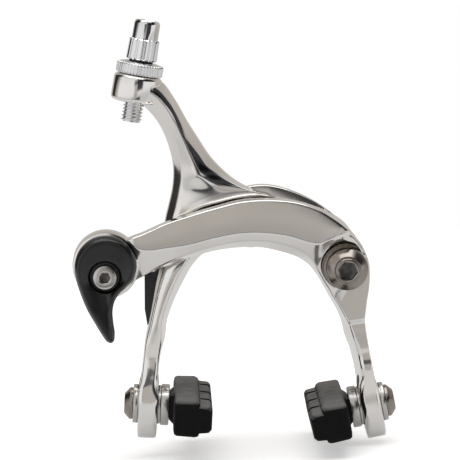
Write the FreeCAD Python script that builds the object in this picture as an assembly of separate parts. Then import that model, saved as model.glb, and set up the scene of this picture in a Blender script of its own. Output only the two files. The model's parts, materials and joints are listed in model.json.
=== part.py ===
import FreeCAD, Part
import math
import os

from FreeCAD import Vector

# Dual-pivot rim brake caliper, in millimetres, with the brake released.
# +X is to the right as the rider in front of the bicycle sees it, +Z is up and -Y faces forwards.
# The origin is where the mounting bolt's axis meets the fork crown.

# Driving dimensions ---------------------------------------------------------------------------

CENTRE = (0.0, 0.0)              # axis of the mounting bolt, which is the long arm's pivot
SIDE = (27.0, -13.5)             # axis of the side pivot, which carries the short arm
LEVER = (-42.5, -8.3)            # axis that the quick-release lever turns about
ANCHOR = (-42.9, -11.2)          # axis of the cable anchor bolt, set off the lever's own axis

STUD_R = 3.0                     # M6 mounting stud
SHANK_R = 3.2                    # plain shank of the same bolt, inside the caliper
STUD_LENGTH = 26.0               # how far the stud stands behind the crown face
FRONT_Y = -33.0                  # front face of the short arm's arch
ARCH_BACK_Y = -25.5              # back of the arch, in front of the long arm
SEAT_Y = -26.0                   # flat round the side pivot
LIMB_FRONT_Y = -24.0             # front face of the long arm
HUB_FRONT_Y = -21.0              # front of the long arm's pivot hub
ARM_BACK_Y = -11.5               # back face of both arms at their pivots
ARM_FLAT_BACK_Y = -12.5          # back face of the long arm away from its pivot
BRACKET_FRONT_Y = -11.0
BRACKET_BACK_Y = -6.7
BRACKET_HUB_Y = -4.0             # back of the bracket's centre boss
WASHER_BACK_Y = -2.8             # between the toothed washer and the crown spacer

CABLE_Y = -18.5                  # plane of the cable, the barrel and the pads' studs
CABLE_TILT = 13.0                # lean of the cable from the vertical, in degrees
LEFT_OPEN = 6.0                  # how far each leg leans open at rest, in degrees
RIGHT_OPEN = 7.5
LEFT_PAD = (-32.9, -51.2)        # where each pad's stud crosses the middle of its leg
RIGHT_PAD = (32.3, -55.0)
LEG_HALF = 2.9                   # half the thickness of a leg at its slot
LEG_FRONT_Y = -25.3
LEG_BACK_Y = -11.7
SLOT_UP = 6.0                    # pad travel above and below where it is clamped
SLOT_DOWN = 4.0
PAD_LENGTH = 49.0
PAD_FACE = 18.5                  # from the middle of the leg to the pad's braking face
CLEAR = 0.05                     # running clearance on a radius
GAP = 0.1                        # gap between faces of pieces that move past each other


# Helpers --------------------------------------------------------------------------------------

def point(xz, y):
    """A point given by its place in the front view and its depth."""
    return Vector(xz[0], y, xz[1])


def disc(radius, y0, y1, centre=CENTRE):
    """A cylinder along Y between two depths."""
    return Part.makeCylinder(radius, abs(y1 - y0), point(centre, min(y0, y1)), Vector(0, 1, 0))


def ring(outer, inner, y0, y1, centre=CENTRE):
    return disc(outer, y0, y1, centre).cut(disc(inner, y0 - 1, y1 + 1, centre))


def cone(r0, r1, y0, y1, centre=CENTRE):
    """A cone along Y, of radius r0 at depth y0 and r1 at the greater depth y1."""
    return Part.makeCone(r0, r1, y1 - y0, point(centre, y0), Vector(0, 1, 0))


def hexagon(flats, base, axis, length, turn=0.0):
    """A hexagonal bar of the given width across flats, from base along axis."""
    axis = Vector(axis).normalize()
    across = axis.cross(Vector(0.3, 0.2, 1.0)).normalize()
    other = axis.cross(across)
    corner = flats / math.sqrt(3)
    points = []
    for i in range(7):
        a = math.radians(60 * i + turn)
        points.append(base + across * (corner * math.cos(a)) + other * (corner * math.sin(a)))
    return Part.Face(Part.makePolygon(points)).extrude(axis * length)


def outline(parts, y):
    """A closed wire at depth y. Each part is a list of points: two make a line, more a smooth curve."""
    edges = []
    for part in parts:
        points = [point(p, y) for p in part]
        if len(points) == 2:
            edges.append(Part.makeLine(points[0], points[1]))
        else:
            curve = Part.BSplineCurve()
            curve.interpolate(points)
            edges.append(curve.toShape())
    return Part.Wire(edges)


def plate(parts, y0, y1):
    """The outline pushed from depth y0 to y1."""
    return Part.Face(outline(parts, y0)).extrude(Vector(0, y1 - y0, 0))


def soften(shape, radius, wanted):
    """Rounds the edges that wanted() picks."""
    edges = [e for e in shape.Edges if wanted(e)]
    return shape.makeFillet(radius, edges) if edges else shape


def bevel(shape, depth, width, wanted):
    edges = [e for e in shape.Edges if wanted(e)]
    return shape.makeChamfer(depth, width, edges) if edges else shape


def flat_at(y):
    """Picks the edges that lie wholly at depth y."""
    def test(edge):
        box = edge.BoundBox
        return abs(box.YMin - y) < 1e-3 and abs(box.YMax - y) < 1e-3
    return test


class Leg:
    """Local directions at a pad: u towards the rim, v up the slot."""

    def __init__(self, middle, side, lean):
        a = math.radians(lean)
        self.middle = middle
        self.u = (side * math.cos(a), -math.sin(a))
        self.v = (side * math.sin(a), math.cos(a))

    def at(self, u, v):
        return (self.middle[0] + u * self.u[0] + v * self.v[0],
                self.middle[1] + u * self.u[1] + v * self.v[1])

    def turned(self, radius, u0, u1, v=0.0):
        """A cylinder along u through the pad's stud axis."""
        return Part.makeCylinder(radius, u1 - u0, point(self.at(u0, v), CABLE_Y),
                                 Vector(self.u[0], 0, self.u[1]))

    def tapered(self, r0, r1, u0, u1):
        return Part.makeCone(r0, r1, u1 - u0, point(self.at(u0, 0), CABLE_Y),
                             Vector(self.u[0], 0, self.u[1]))

    def block(self, u0, u1, v0, v1, y0, y1):
        corners = [self.at(u0, v0), self.at(u1, v0), self.at(u1, v1), self.at(u0, v1)]
        sides = [[corners[i], corners[(i + 1) % 4]] for i in range(4)]
        return plate(sides, y0, y1)


LEFT = Leg(LEFT_PAD, 1, LEFT_OPEN)
RIGHT = Leg(RIGHT_PAD, -1, RIGHT_OPEN)
tilt = math.radians(CABLE_TILT)
CABLE = Vector(math.sin(tilt), 0, math.cos(tilt))


def along(t):
    """A point on the cable's axis, t above the anchor."""
    return point(ANCHOR, CABLE_Y) + CABLE * t


def barrel(radius, t0, t1):
    return Part.makeCylinder(radius, t1 - t0, along(t0), CABLE)


def barrel_cone(r0, r1, t0, t1):
    return Part.makeCone(r0, r1, t1 - t0, along(t0), CABLE)


# Legs -----------------------------------------------------------------------------------------

SLOT_HALF = STUD_R + 0.1
LEG_END = SLOT_DOWN + SLOT_HALF + 2.9    # from the stud down to the tip of the leg


def leg_end_rounder(leg):
    """What is cut off a leg's square tip to leave it rounded in the side view."""
    radius = (LEG_BACK_Y - LEG_FRONT_Y) / 2
    middle_y = (LEG_BACK_Y + LEG_FRONT_Y) / 2
    low = leg.block(-6, 6, -LEG_END - 1, -LEG_END + radius, LEG_FRONT_Y - 1, LEG_BACK_Y + 1)
    base = point(leg.at(-6, -LEG_END + radius), middle_y)
    return low.cut(Part.makeCylinder(radius, 12, base, Vector(leg.u[0], 0, leg.u[1])))


def slot_cutter(leg):
    """The long hole that the pad's stud slides in."""
    y0, y1 = CABLE_Y - SLOT_HALF, CABLE_Y + SLOT_HALF
    cut = leg.block(-9, 9, -SLOT_DOWN, SLOT_UP, y0, y1)
    for v in (-SLOT_DOWN, SLOT_UP):
        cut = cut.fuse(leg.turned(SLOT_HALF, -9, 9, v))
    return cut


def blade(leg, top):
    """The slotted lower length of a leg, up to the height top above the stud."""
    body = leg.block(-LEG_HALF, LEG_HALF, -LEG_END, top, LEG_FRONT_Y, LEG_BACK_Y)
    body = body.cut(leg_end_rounder(leg))
    up = Vector(leg.v[0], 0, leg.v[1])

    def long_front_edge(edge):
        box = edge.BoundBox
        return abs(box.YMin - LEG_FRONT_Y) < 1e-3 and box.YLength < 1e-3 and edge.Length > 8

    def upright(edge):
        return abs(edge.tangentAt(edge.FirstParameter).dot(up)) > 0.9

    body = soften(body, 2.0, lambda edge: long_front_edge(edge) and upright(edge))
    return body.cut(slot_cutter(leg))


# The short arm, which reaches from the quick release over the tyre to the right pad ---------------

SHORT_TOP = [(-29.2, 1.4), (-17.5, 5.1), (-8.0, 7.4), (2.0, 8.4), (12.0, 7.2), (20.0, 4.2)]


def arch():
    """The front part of the arch: a flat face with a broad flank that falls away below it."""
    front = [
        [(-34.8, -0.9)] + SHORT_TOP + [(28.4, -2.6)],
        [(28.4, -2.6), (27.4, -3.6)],
        [(27.4, -3.6), (22.5, -4.4), (18.0, -5.2)],
        [(18.0, -5.2), (11.0, -2.8), (2.0, -1.1), (-8.0, -1.6), (-18.0, -3.5), (-28.0, -4.5), (-34.8, -2.4)],
        [(-34.8, -2.4), (-34.8, -0.9)],
    ]
    back = [
        [(-38.5, -0.4)] + SHORT_TOP + [(29.0, -3.4)],
        [(29.0, -3.4), (29.0, -13.0)],
        [(29.0, -13.0), (23.0, -15.0), (18.4, -15.8)],
        [(18.4, -15.8), (13.0, -9.9), (4.0, -6.7), (-6.0, -6.0), (-16.0, -7.6), (-26.0, -10.4),
         (-36.0, -14.8)],
        [(-36.0, -14.8), (-38.5, -0.4)],
    ]
    flank = Part.makeLoft([outline(front, FRONT_Y), outline(back, SEAT_Y)], True, True)
    return flank.fuse(plate(back, SEAT_Y, ARCH_BACK_Y))


def side_plate():
    """The part round the side pivot that runs down into the right leg."""
    hip = RIGHT.at(-LEG_HALF, 22)
    inner = RIGHT.at(LEG_HALF, 17)
    rim = [
        [(28.4, -2.8), (31.6, -7.2), (33.7, -12.5), (33.4, -19.5), (32.2, -27.0), hip],
        [hip, inner],
        [inner, (24.9, -30.0), (22.0, -23.0), (18.4, -15.8)],
        [(18.4, -15.8), (19.6, -11.0), (22.6, -6.6), (28.4, -2.8)],
    ]
    return plate(rim, SEAT_Y, ARM_BACK_Y)


SCREW_TIP = (20.0, -1.5)          # where the centring screw meets the long arm's tail
SCREW_LEAN = 39.8                 # lean of the screw from the vertical, in degrees
SCREW_LENGTH = 4.0
SCREW_R = 2.0
SCREW_Y = -17.0
lean = math.radians(SCREW_LEAN)
SCREW = Vector(math.sin(lean), 0, math.cos(lean))


def screw_lug():
    """The shoulder behind the arch that the centring screw is threaded through."""
    rim = [
        [(18.2, 4.9), (23.6, 2.0), (28.4, -2.8)],
        [(28.4, -2.8), (24.2, -5.6)],
        [(24.2, -5.6), (22.2, -1.5)],
        [(22.2, -1.5), (17.5, 2.5)],
        [(17.5, 2.5), (18.2, 4.9)],
    ]
    return plate(rim, ARCH_BACK_Y, -13.0)


BOSS_R = 9.4
HUB_R = 6.4


def short_arm():
    body = arch()
    body = body.cut([cone(10.3, 7.9, FRONT_Y - 0.2, SEAT_Y, SIDE), disc(9.35, -40, -31.0, LEVER)])
    body = body.fuse([side_plate(), screw_lug(), blade(RIGHT, 22), disc(BOSS_R, -31.0, -21.0, LEVER)])
    body = body.removeSplitter()
    bores = [
        disc(SIDE_BUSH_R + CLEAR, FRONT_Y - 1, ARM_BACK_Y + 1, SIDE),
        disc(HUB_R + CLEAR, -40, -15, LEVER),
        Part.makeCylinder(SCREW_R, 20, point(SCREW_TIP, SCREW_Y) - SCREW * 2, SCREW),
    ]
    return body.cut(bores)


# The long arm, which carries the cable barrel and the left pad -----------------------------------

def long_arm():
    blade_top_out = LEFT.at(-LEG_HALF, 21)
    blade_top_in = LEFT.at(LEG_HALF, 21)
    rim = [
        [(-28.5, 44.2), (-24.2, 43.0)],
        [(-24.2, 43.0), (-18.4, 34.0), (-12.0, 22.4), (-4.2, 13.3), (5.0, 8.0), (14.5, 3.0), (22.2, -3.4)],
        [(22.2, -3.4), (20.6, -6.2)],
        [(20.6, -6.2), (12.0, -6.0), (0.0, -6.2), (-9.0, -5.8), (-16.0, -9.0), (-21.4, -16.6),
         (-25.2, -25.0), blade_top_in],
        [blade_top_in, blade_top_out],
        [blade_top_out, (-29.8, -22.0), (-26.6, -12.0), (-25.0, -1.0), (-22.4, 10.0), (-21.8, 19.5),
         (-25.0, 31.5), (-31.5, 37.8)],
        [(-31.5, 37.8), (-28.5, 44.2)],
    ]
    body = plate(rim, LIMB_FRONT_Y, ARM_FLAT_BACK_Y)
    body = body.fuse(disc(6.6, -23.0, ARM_BACK_Y))
    body = body.cut(disc(8.2, -40, HUB_FRONT_Y))
    eye = soften(barrel(7.0, 50.0, 58.0), 1.1, lambda e: e.Closed)
    body = body.fuse([eye, blade(LEFT, 22)]).removeSplitter()
    bores = [
        disc(CENTRE_BUSH_R + CLEAR, -40, 0),
        barrel(BARREL_THREAD_R + CLEAR, 40, 70),
    ]
    return body.cut(bores)


# Pivots and mounting ----------------------------------------------------------------------------

CENTRE_BUSH_R = 4.5
SIDE_BUSH_R = 4.2
SIDE_BOLT_R = 3.0


def mounting_bolt():
    """Round-headed stud: the head holds the long arm on, the threaded tail goes through the fork."""
    head = soften(disc(5.6, -24.4, -21.6), 0.8, flat_at(-24.4))
    for side in (-1, 1):
        base = Vector(side * 7.6 - 3, -25.5, -8)
        head = head.cut(Part.makeBox(6, 3.0, 16, base))
    tail = disc(STUD_R, -1.0, STUD_LENGTH)
    tail = bevel(tail, 0.6, 0.6, flat_at(STUD_LENGTH))
    return head.fuse([disc(SHANK_R, -21.6, 0), tail]).removeSplitter()


def mounting_bracket():
    """The fixed link between the mounting bolt and the side pivot."""
    rim = [
        [(-7.6, 1.0), (-5.6, 7.4), (2.8, 10.4), (12.1, 8.4), (22.3, 2.4), (29.5, -5.2), (33.4, -12.0),
         (32.0, -18.8), (26.6, -20.6), (21.2, -17.4), (17.4, -11.2), (10.0, -6.6), (1.0, -7.0), (-5.8, -5.2),
         (-7.6, 1.0)],
    ]
    body = plate(rim, BRACKET_FRONT_Y, BRACKET_BACK_Y)
    body = body.fuse(disc(6.5, BRACKET_BACK_Y, BRACKET_HUB_Y)).removeSplitter()
    return body.cut([disc(SHANK_R, -20, 5), disc(SIDE_BOLT_R, -20, 5, SIDE)])


def toothed_washer():
    """Star washer that stops the caliper turning on the crown."""
    body = ring(6.4, SHANK_R + CLEAR, BRACKET_HUB_Y, WASHER_BACK_Y)
    teeth = 16
    for i in range(teeth):
        a = 2 * math.pi * i / teeth
        notch = Part.makeCylinder(0.7, 3, Vector(6.7 * math.cos(a), BRACKET_HUB_Y - 1, 6.7 * math.sin(a)),
                                  Vector(0, 1, 0))
        body = body.cut(notch)
    return body


def crown_spacer():
    body = ring(7.6, SHANK_R + CLEAR, WASHER_BACK_Y, 0.0)
    return bevel(body, 0.5, 0.5, lambda e: flat_at(WASHER_BACK_Y)(e) and e.Length > 40)


HEAD_TOP_Y = -35.0
HEAD_R = 3.6


def side_pivot_bolt():
    head = bevel(disc(HEAD_R, HEAD_TOP_Y, -30.6, SIDE), 0.4, 0.4, flat_at(HEAD_TOP_Y))
    shank = disc(SIDE_BOLT_R, -30.6, BRACKET_BACK_Y + 0.7, SIDE)
    socket = hexagon(5.0, point(SIDE, HEAD_TOP_Y - 1), (0, 1, 0), 4.4, 12)
    return head.fuse(shank).removeSplitter().cut(socket)


CONE_FRONT_Y = -33.4
CONE_SHOULDER_Y = -31.3
CONE_R = 6.05


def side_cone_washer():
    """Washer that fills the scoop in the arm; its front is a cone that backs the bolt's head."""
    face = cone(4.15, CONE_R, CONE_FRONT_Y, CONE_SHOULDER_Y, SIDE)
    body = face.fuse(disc(CONE_R, CONE_SHOULDER_Y, SEAT_Y - 0.15, SIDE)).removeSplitter()
    return body.cut([disc(SIDE_BOLT_R + CLEAR, -40, -20, SIDE), disc(HEAD_R + CLEAR, -40, -30.6, SIDE)])


# Quick release and cable anchor -----------------------------------------------------------------

LEVER_FRONT_Y = -36.0
LEVER_BACK_Y = -31.3
HOLDER_FRONT_Y = -20.6


def quick_release_lever():
    """Cam hub with a hooked thumb lever; turning it moves the anchor bolt off the cable's line."""
    hook = [
        [(-51.4, -7.6), (-51.0, -13.0), (-48.6, -20.6), (-45.0, -27.6), (-43.2, -30.1)],
        [(-43.2, -30.1), (-42.3, -30.6), (-41.4, -30.0)],
        [(-41.4, -30.0), (-41.3, -24.0), (-40.6, -18.6), (-35.2, -13.4)],
        [(-35.2, -13.4), LEVER],
        [LEVER, (-51.4, -7.6)],
    ]
    blade_part = plate(hook, LEVER_FRONT_Y + 1.1, LEVER_BACK_Y)
    face = disc(8.95, LEVER_FRONT_Y + 1.1, LEVER_BACK_Y, LEVER)
    dome = cone(6.4, 8.95, LEVER_FRONT_Y, LEVER_FRONT_Y + 1.1, LEVER)
    body = face.fuse([blade_part, dome, disc(HUB_R, LEVER_BACK_Y, HOLDER_FRONT_Y, LEVER)]).removeSplitter()
    recess = cone(5.2, 4.2, LEVER_FRONT_Y - 0.1, LEVER_FRONT_Y + 0.9, ANCHOR)
    recess = recess.fuse(disc(4.2, LEVER_FRONT_Y + 0.9, -32.6, ANCHOR))
    return body.cut([recess, disc(ANCHOR_R + CLEAR, -40, -10, ANCHOR)])


ANCHOR_R = 2.5


def cable_anchor_bolt():
    head = bevel(disc(3.45, -35.6, -32.6, ANCHOR), 0.35, 0.35, flat_at(-35.6))
    shank = disc(ANCHOR_R, -32.6, -12.6, ANCHOR)
    return head.fuse(shank).removeSplitter().cut(hexagon(3.0, point(ANCHOR, -36.6), (0, 1, 0), 3.2, 20))


def cable_clamp_plate():
    """Square-cornered plate with a groove that pinches the cable beside the bolt."""
    body = plate([[(-48.3, -16.2), (-38.5, -16.2)], [(-38.5, -16.2), (-38.5, -6.2)],
                  [(-38.5, -6.2), (-48.3, -6.2)], [(-48.3, -6.2), (-48.3, -16.2)]],
                 HOLDER_FRONT_Y + 1.0, -17.3)
    groove = Part.makeCylinder(0.85, 30, point((ANCHOR[0] - 3.4, ANCHOR[1]), HOLDER_FRONT_Y + 1.0)
                               - CABLE * 15, CABLE)
    return body.cut([groove, disc(ANCHOR_R + CLEAR, -40, -10, ANCHOR)])


def lever_holder():
    """Washer behind the boss that keeps the lever's hub in its bore."""
    return ring(8.0, HUB_R - 0.4, HOLDER_FRONT_Y, HOLDER_FRONT_Y + 1.0, LEVER).fuse(
        disc(HUB_R - 0.4, HOLDER_FRONT_Y, HOLDER_FRONT_Y + 1.0, LEVER)).removeSplitter().cut(
            disc(ANCHOR_R + CLEAR, -40, -10, ANCHOR))


def cable_anchor_nut():
    body = hexagon(8.0, point(ANCHOR, -17.3), (0, 1, 0), 4.0, 10)
    body = body.common(cone(5.6, 3.9, -17.3, -13.3 + 0.6, ANCHOR))
    return body.cut(disc(ANCHOR_R, -40, -10, ANCHOR))


# Cable barrel -----------------------------------------------------------------------------------

BARREL_THREAD_R = 3.0
BARREL_TOP = 74.0
RING_BASE = 58.0 + GAP


def barrel_adjuster():
    """Hollow thumb screw: the cable's outer casing sits in the top, the inner wire runs through."""
    body = barrel(BARREL_THREAD_R, 44.6, 62.4)
    body = body.fuse([barrel_cone(4.5, 4.3, 62.4, 68.6), barrel(3.65, 68.6, BARREL_TOP)]).removeSplitter()
    return body.cut([barrel(1.1, 40, 80), barrel(2.6, 66.0, 80)])


def adjuster_lock_ring():
    body = barrel(6.8, RING_BASE, 61.5)
    body = body.fuse(barrel_cone(6.1, 4.9, 61.5, 61.9)).removeSplitter()
    return body.cut(barrel(BARREL_THREAD_R + CLEAR, 40, 80))


def adjuster_friction_ring():
    """Rubber ring under the knurl that keeps the barrel from turning by itself."""
    middle = along(62.15)
    body = Part.makeTorus(BARREL_THREAD_R + CLEAR + 0.24, 0.22, middle, CABLE)
    return body


# Return spring ----------------------------------------------------------------------------------

WIRE_R = 1.1
WIRE_Y = -5.4
SPRING_ROUTE = [(-29.4, -27.0), (-27.0, -9.0), (-8.6, 1.4), (0.0, 16.8), (8.6, 0.6),
                (17.6, -11.6), (28.4, -30.6)]
BEND_R = [3.0, 3.0, 8.3, 3.0, 6.0]


def rounded_path(route, radii, y):
    """Straight runs along the route with a tangent arc of each radius at its inner points."""
    edges = []
    start = point(route[0], y)
    for i, radius in enumerate(radii, 1):
        before, here, after = (point(route[j], y) for j in (i - 1, i, i + 1))
        a = (before - here).normalize()
        b = (after - here).normalize()
        half = a.getAngle(b) / 2
        back = radius / math.tan(half)
        middle = here + (a + b).normalize() * (radius / math.sin(half) - radius)
        edges.append(Part.makeLine(start, here + a * back))
        edges.append(Part.Arc(here + a * back, middle, here + b * back).toShape())
        start = here + b * back
    edges.append(Part.makeLine(start, point(route[-1], y)))
    return Part.Wire(edges)


def return_spring():
    """Steel wire over the bracket's centre boss; its two legs push the arms apart."""
    path = rounded_path(SPRING_ROUTE, BEND_R, WIRE_Y)
    first = path.Edges[0]
    section = Part.Wire(Part.makeCircle(WIRE_R, first.valueAt(first.FirstParameter),
                                        first.tangentAt(first.FirstParameter)))
    return path.makePipeShell([section], True, False)


def spring_block(corners, groove_from, groove_to, back_y):
    """Moulded nylon slipper on the back of an arm, with a groove for the spring's end."""
    sides = [[corners[i], corners[(i + 1) % len(corners)]] for i in range(len(corners))]
    body = plate(sides, back_y, WIRE_Y + WIRE_R + 0.6)
    start, end = point(groove_from, WIRE_Y), point(groove_to, WIRE_Y)
    way = end - start
    return body.cut(Part.makeCylinder(WIRE_R + 0.15, way.Length + 12, start - way.normalize() * 6, way))


def left_spring_block():
    corners = [(-31.6, -11.0), (-24.2, -11.0), (-24.8, -15.0), (-26.6, -21.0),
               (-28.0, -28.8), (-31.8, -28.8), (-32.3, -24.0)]
    return spring_block(corners, SPRING_ROUTE[0], SPRING_ROUTE[1], ARM_FLAT_BACK_Y)


def right_spring_block():
    corners = [(25.2, -22.0), (30.0, -22.0), (30.8, -32.0), (27.0, -32.0)]
    return spring_block(corners, SPRING_ROUTE[-1], SPRING_ROUTE[-2], ARM_BACK_Y)


# Brake pads -------------------------------------------------------------------------------------

def pad_block(leg):
    """Moulded rubber block: a broad base with a narrower friction face, ends cut back."""
    half = PAD_LENGTH / 2
    base = leg.block(7.6, 14.6, -5.2, 5.2, CABLE_Y - half, CABLE_Y + half)
    face = leg.block(14.6, PAD_FACE, -4.1, 4.1, CABLE_Y - half, CABLE_Y + half)
    heel = leg.tapered(6.3, 5.2, 6.2, 7.6)
    body = base.fuse([face, heel]).removeSplitter()
    grooves = []
    for y in (CABLE_Y - 10.5, CABLE_Y + 3.0, CABLE_Y + 16.5):
        grooves.append(leg.block(PAD_FACE - 3.2, PAD_FACE + 1, -5, 5, y - 1.1, y + 1.1))
    return body.cut(grooves + [pad_stud(leg)])


def pad_stud(leg):
    """Threaded stud with a flange that is moulded into the rubber."""
    return leg.turned(STUD_R, -6.2, 9.0).fuse(leg.turned(4.6, 9.0, 10.5)).removeSplitter()


def inner_washer(leg):
    return leg.turned(6.1, 3.7, 6.2).cut(leg.turned(STUD_R, 0, 9))


def shim_washer(leg):
    return leg.turned(5.7, LEG_HALF, 3.7).cut(leg.turned(STUD_R, 0, 9))


def outer_washer(leg):
    return leg.turned(5.7, -4.4, -LEG_HALF).cut(leg.turned(STUD_R, -9, 0))


def pad_nut(leg):
    """Domed nut with a hexagon socket."""
    body = leg.turned(4.7, -5.4, -4.4).fuse(leg.tapered(2.9, 4.7, -7.0, -5.4)).removeSplitter()
    socket = hexagon(4.0, point(leg.at(-8.0, 0), CABLE_Y), (leg.u[0], 0, leg.u[1]), 1.8)
    return body.cut([leg.turned(STUD_R, -6.2, 0), socket])


def centring_screw():
    base = point(SCREW_TIP, SCREW_Y) + SCREW * 0.9
    body = Part.makeCylinder(SCREW_R - 0.6, 0.6, base, SCREW)
    thread = Part.makeCylinder(SCREW_R, SCREW_LENGTH - 0.6, base + SCREW * 0.6, SCREW)
    body = body.fuse(thread).removeSplitter()
    return body.cut(hexagon(2.0, base + SCREW * (SCREW_LENGTH - 2), SCREW, 3))


# Everything, by the name of its node -------------------------------------------------------------

def nodes():
    made = {
        "mounting_bolt": mounting_bolt(),
        "mounting_bracket": mounting_bracket(),
        "toothed_washer": toothed_washer(),
        "crown_spacer": crown_spacer(),
        "front_thrust_washer": ring(5.6, CENTRE_BUSH_R + 0.1, -21.5, HUB_FRONT_Y - 0.05),
        "centre_bushing": ring(CENTRE_BUSH_R, SHANK_R, -21.6, BRACKET_FRONT_Y),
        "rear_thrust_washer": ring(6.5, CENTRE_BUSH_R + 0.1, ARM_BACK_Y + 0.05, BRACKET_FRONT_Y),
        "side_pivot_bolt": side_pivot_bolt(),
        "side_cone_washer": side_cone_washer(),
        "side_bushing": ring(SIDE_BUSH_R, SIDE_BOLT_R, SEAT_Y - 0.15, BRACKET_FRONT_Y, SIDE),
        "side_thrust_washer": ring(6.6, SIDE_BUSH_R + 0.1, ARM_BACK_Y + 0.05, BRACKET_FRONT_Y, SIDE),
        "return_spring": return_spring(),
        "long_arm": long_arm(),
        "left_spring_block": left_spring_block(),
        "short_arm": short_arm(),
        "right_spring_block": right_spring_block(),
        "centring_screw": centring_screw(),
        "quick_release_lever": quick_release_lever(),
        "lever_holder": lever_holder(),
        "cable_anchor_bolt": cable_anchor_bolt(),
        "cable_clamp_plate": cable_clamp_plate(),
        "cable_anchor_nut": cable_anchor_nut(),
        "barrel_adjuster": barrel_adjuster(),
        "adjuster_lock_ring": adjuster_lock_ring(),
        "adjuster_friction_ring": adjuster_friction_ring(),
    }
    for side, leg in (("left", LEFT), ("right", RIGHT)):
        made[side + "_pad_block"] = pad_block(leg)
        made[side + "_pad_stud"] = pad_stud(leg)
        made[side + "_pad_inner_washer"] = inner_washer(leg)
        made[side + "_pad_shim_washer"] = shim_washer(leg)
        made[side + "_pad_outer_washer"] = outer_washer(leg)
        made[side + "_pad_nut"] = pad_nut(leg)
    return made


def main():
    os.makedirs("parts", exist_ok=True)
    for name, shape in nodes().items():
        shape.exportStep(os.path.join("parts", name + ".step"))
        print(f"{name:26s} solids {len(shape.Solids)} valid {shape.isValid()} volume {shape.Volume:9.1f}")


main()
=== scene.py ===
# %% [markdown]
# # A dual-pivot rim brake caliper
# This lesson dresses a finished frame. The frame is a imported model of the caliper: every screw, washer
# and arm is already there in metres, and each one already belongs to a body that can move. We keep the
# plain turned parts and give them a finish, and we build the cast arms, the lever, the pads and
# everything knurled or threaded afresh.

# %% Load the frame
import bpy
import bmesh
import math
import numpy as np
from mathutils import Matrix, Vector
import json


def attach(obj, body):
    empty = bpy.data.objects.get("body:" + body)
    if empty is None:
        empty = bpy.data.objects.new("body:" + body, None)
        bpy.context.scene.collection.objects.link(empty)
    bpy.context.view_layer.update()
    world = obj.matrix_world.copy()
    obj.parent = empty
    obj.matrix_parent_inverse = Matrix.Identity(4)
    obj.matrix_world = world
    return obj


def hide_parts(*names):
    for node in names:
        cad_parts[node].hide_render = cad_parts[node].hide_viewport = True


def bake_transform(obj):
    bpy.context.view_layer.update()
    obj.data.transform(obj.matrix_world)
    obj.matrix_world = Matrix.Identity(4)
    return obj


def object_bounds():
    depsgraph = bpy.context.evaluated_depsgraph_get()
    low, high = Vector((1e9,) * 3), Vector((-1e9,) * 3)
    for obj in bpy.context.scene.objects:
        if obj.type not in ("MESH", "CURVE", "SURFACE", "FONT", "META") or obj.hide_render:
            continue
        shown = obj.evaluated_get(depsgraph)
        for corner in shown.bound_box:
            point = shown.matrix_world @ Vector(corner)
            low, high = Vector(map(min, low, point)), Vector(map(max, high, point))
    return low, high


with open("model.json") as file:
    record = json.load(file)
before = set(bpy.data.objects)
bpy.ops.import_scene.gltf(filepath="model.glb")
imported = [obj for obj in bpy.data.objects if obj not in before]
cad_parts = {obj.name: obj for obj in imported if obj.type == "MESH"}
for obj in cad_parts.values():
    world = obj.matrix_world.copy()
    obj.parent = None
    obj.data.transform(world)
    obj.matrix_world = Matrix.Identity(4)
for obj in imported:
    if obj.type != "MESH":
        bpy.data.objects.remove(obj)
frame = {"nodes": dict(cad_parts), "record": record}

MM = 0.001
joints = {joint["name"]: joint for joint in frame["record"]["behaviour"]["joints"]}


def pivot(joint_name):
    """Where a joint's axis crosses the front view: x and z in millimetres."""
    x, _, z = joints[joint_name]["pos_m"]
    return (round(x / MM, 3), round(z / MM, 3))


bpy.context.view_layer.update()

# %% [markdown]
# ## The camera
# A catalogue view from straight in front: a long lens, far away, a few degrees above the arch, with the
# caliper leaning a little in the frame. We build the three directions of the view by hand and put them in
# a matrix.

# %% Camera
view_up, view_side, view_roll = math.radians(6.5), math.radians(-0.8), math.radians(3.3)
back = Vector((math.sin(view_side) * math.cos(view_up), -math.cos(view_side) * math.cos(view_up),
               math.sin(view_up)))
right = Vector((math.cos(view_side), math.sin(view_side), 0))
up = back.cross(right)
cam_x = right * math.cos(view_roll) - up * math.sin(view_roll)
cam_y = right * math.sin(view_roll) + up * math.cos(view_roll)

FOCUS = Vector((0.0, -0.016, 0.0))             # the front of the mounting bolt
FOCUS_AT = (0.00585, 0.00205)                  # where it sits right of and above the middle of the frame
DISTANCE = 1.0
FRAME_WIDTH = 0.1345                           # what the frame takes in from side to side, that far away

middle = FOCUS - (cam_x * FOCUS_AT[0] + cam_y * FOCUS_AT[1]) * DISTANCE
camera_data = bpy.data.cameras.new("camera")
camera_data.lens = camera_data.sensor_width * DISTANCE / FRAME_WIDTH
camera_data.sensor_width = 36
camera_data.clip_start = 0.05
camera = bpy.data.objects.new("camera", camera_data)
camera.matrix_world = Matrix((
    (cam_x.x, cam_y.x, back.x, middle.x + back.x * DISTANCE),
    (cam_x.y, cam_y.y, back.y, middle.y + back.y * DISTANCE),
    (cam_x.z, cam_y.z, back.z, middle.z + back.z * DISTANCE),
    (0, 0, 0, 1)))
bpy.context.scene.collection.objects.link(camera)
bpy.context.scene.camera = camera
print("camera lens", round(camera_data.lens, 1), "mm")

# %% [markdown]
# ## Helpers for sculpted metal
# Cast and polished parts are mostly long shapes whose section changes along the way. So the main tool
# here is a *loft*: we write down a few sections, each a ring of corners, run a smooth curve through every
# corner, and round the corners of each ring. The mesh is dense, so that reflections run smoothly over it,
# which polished metal needs.

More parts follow.
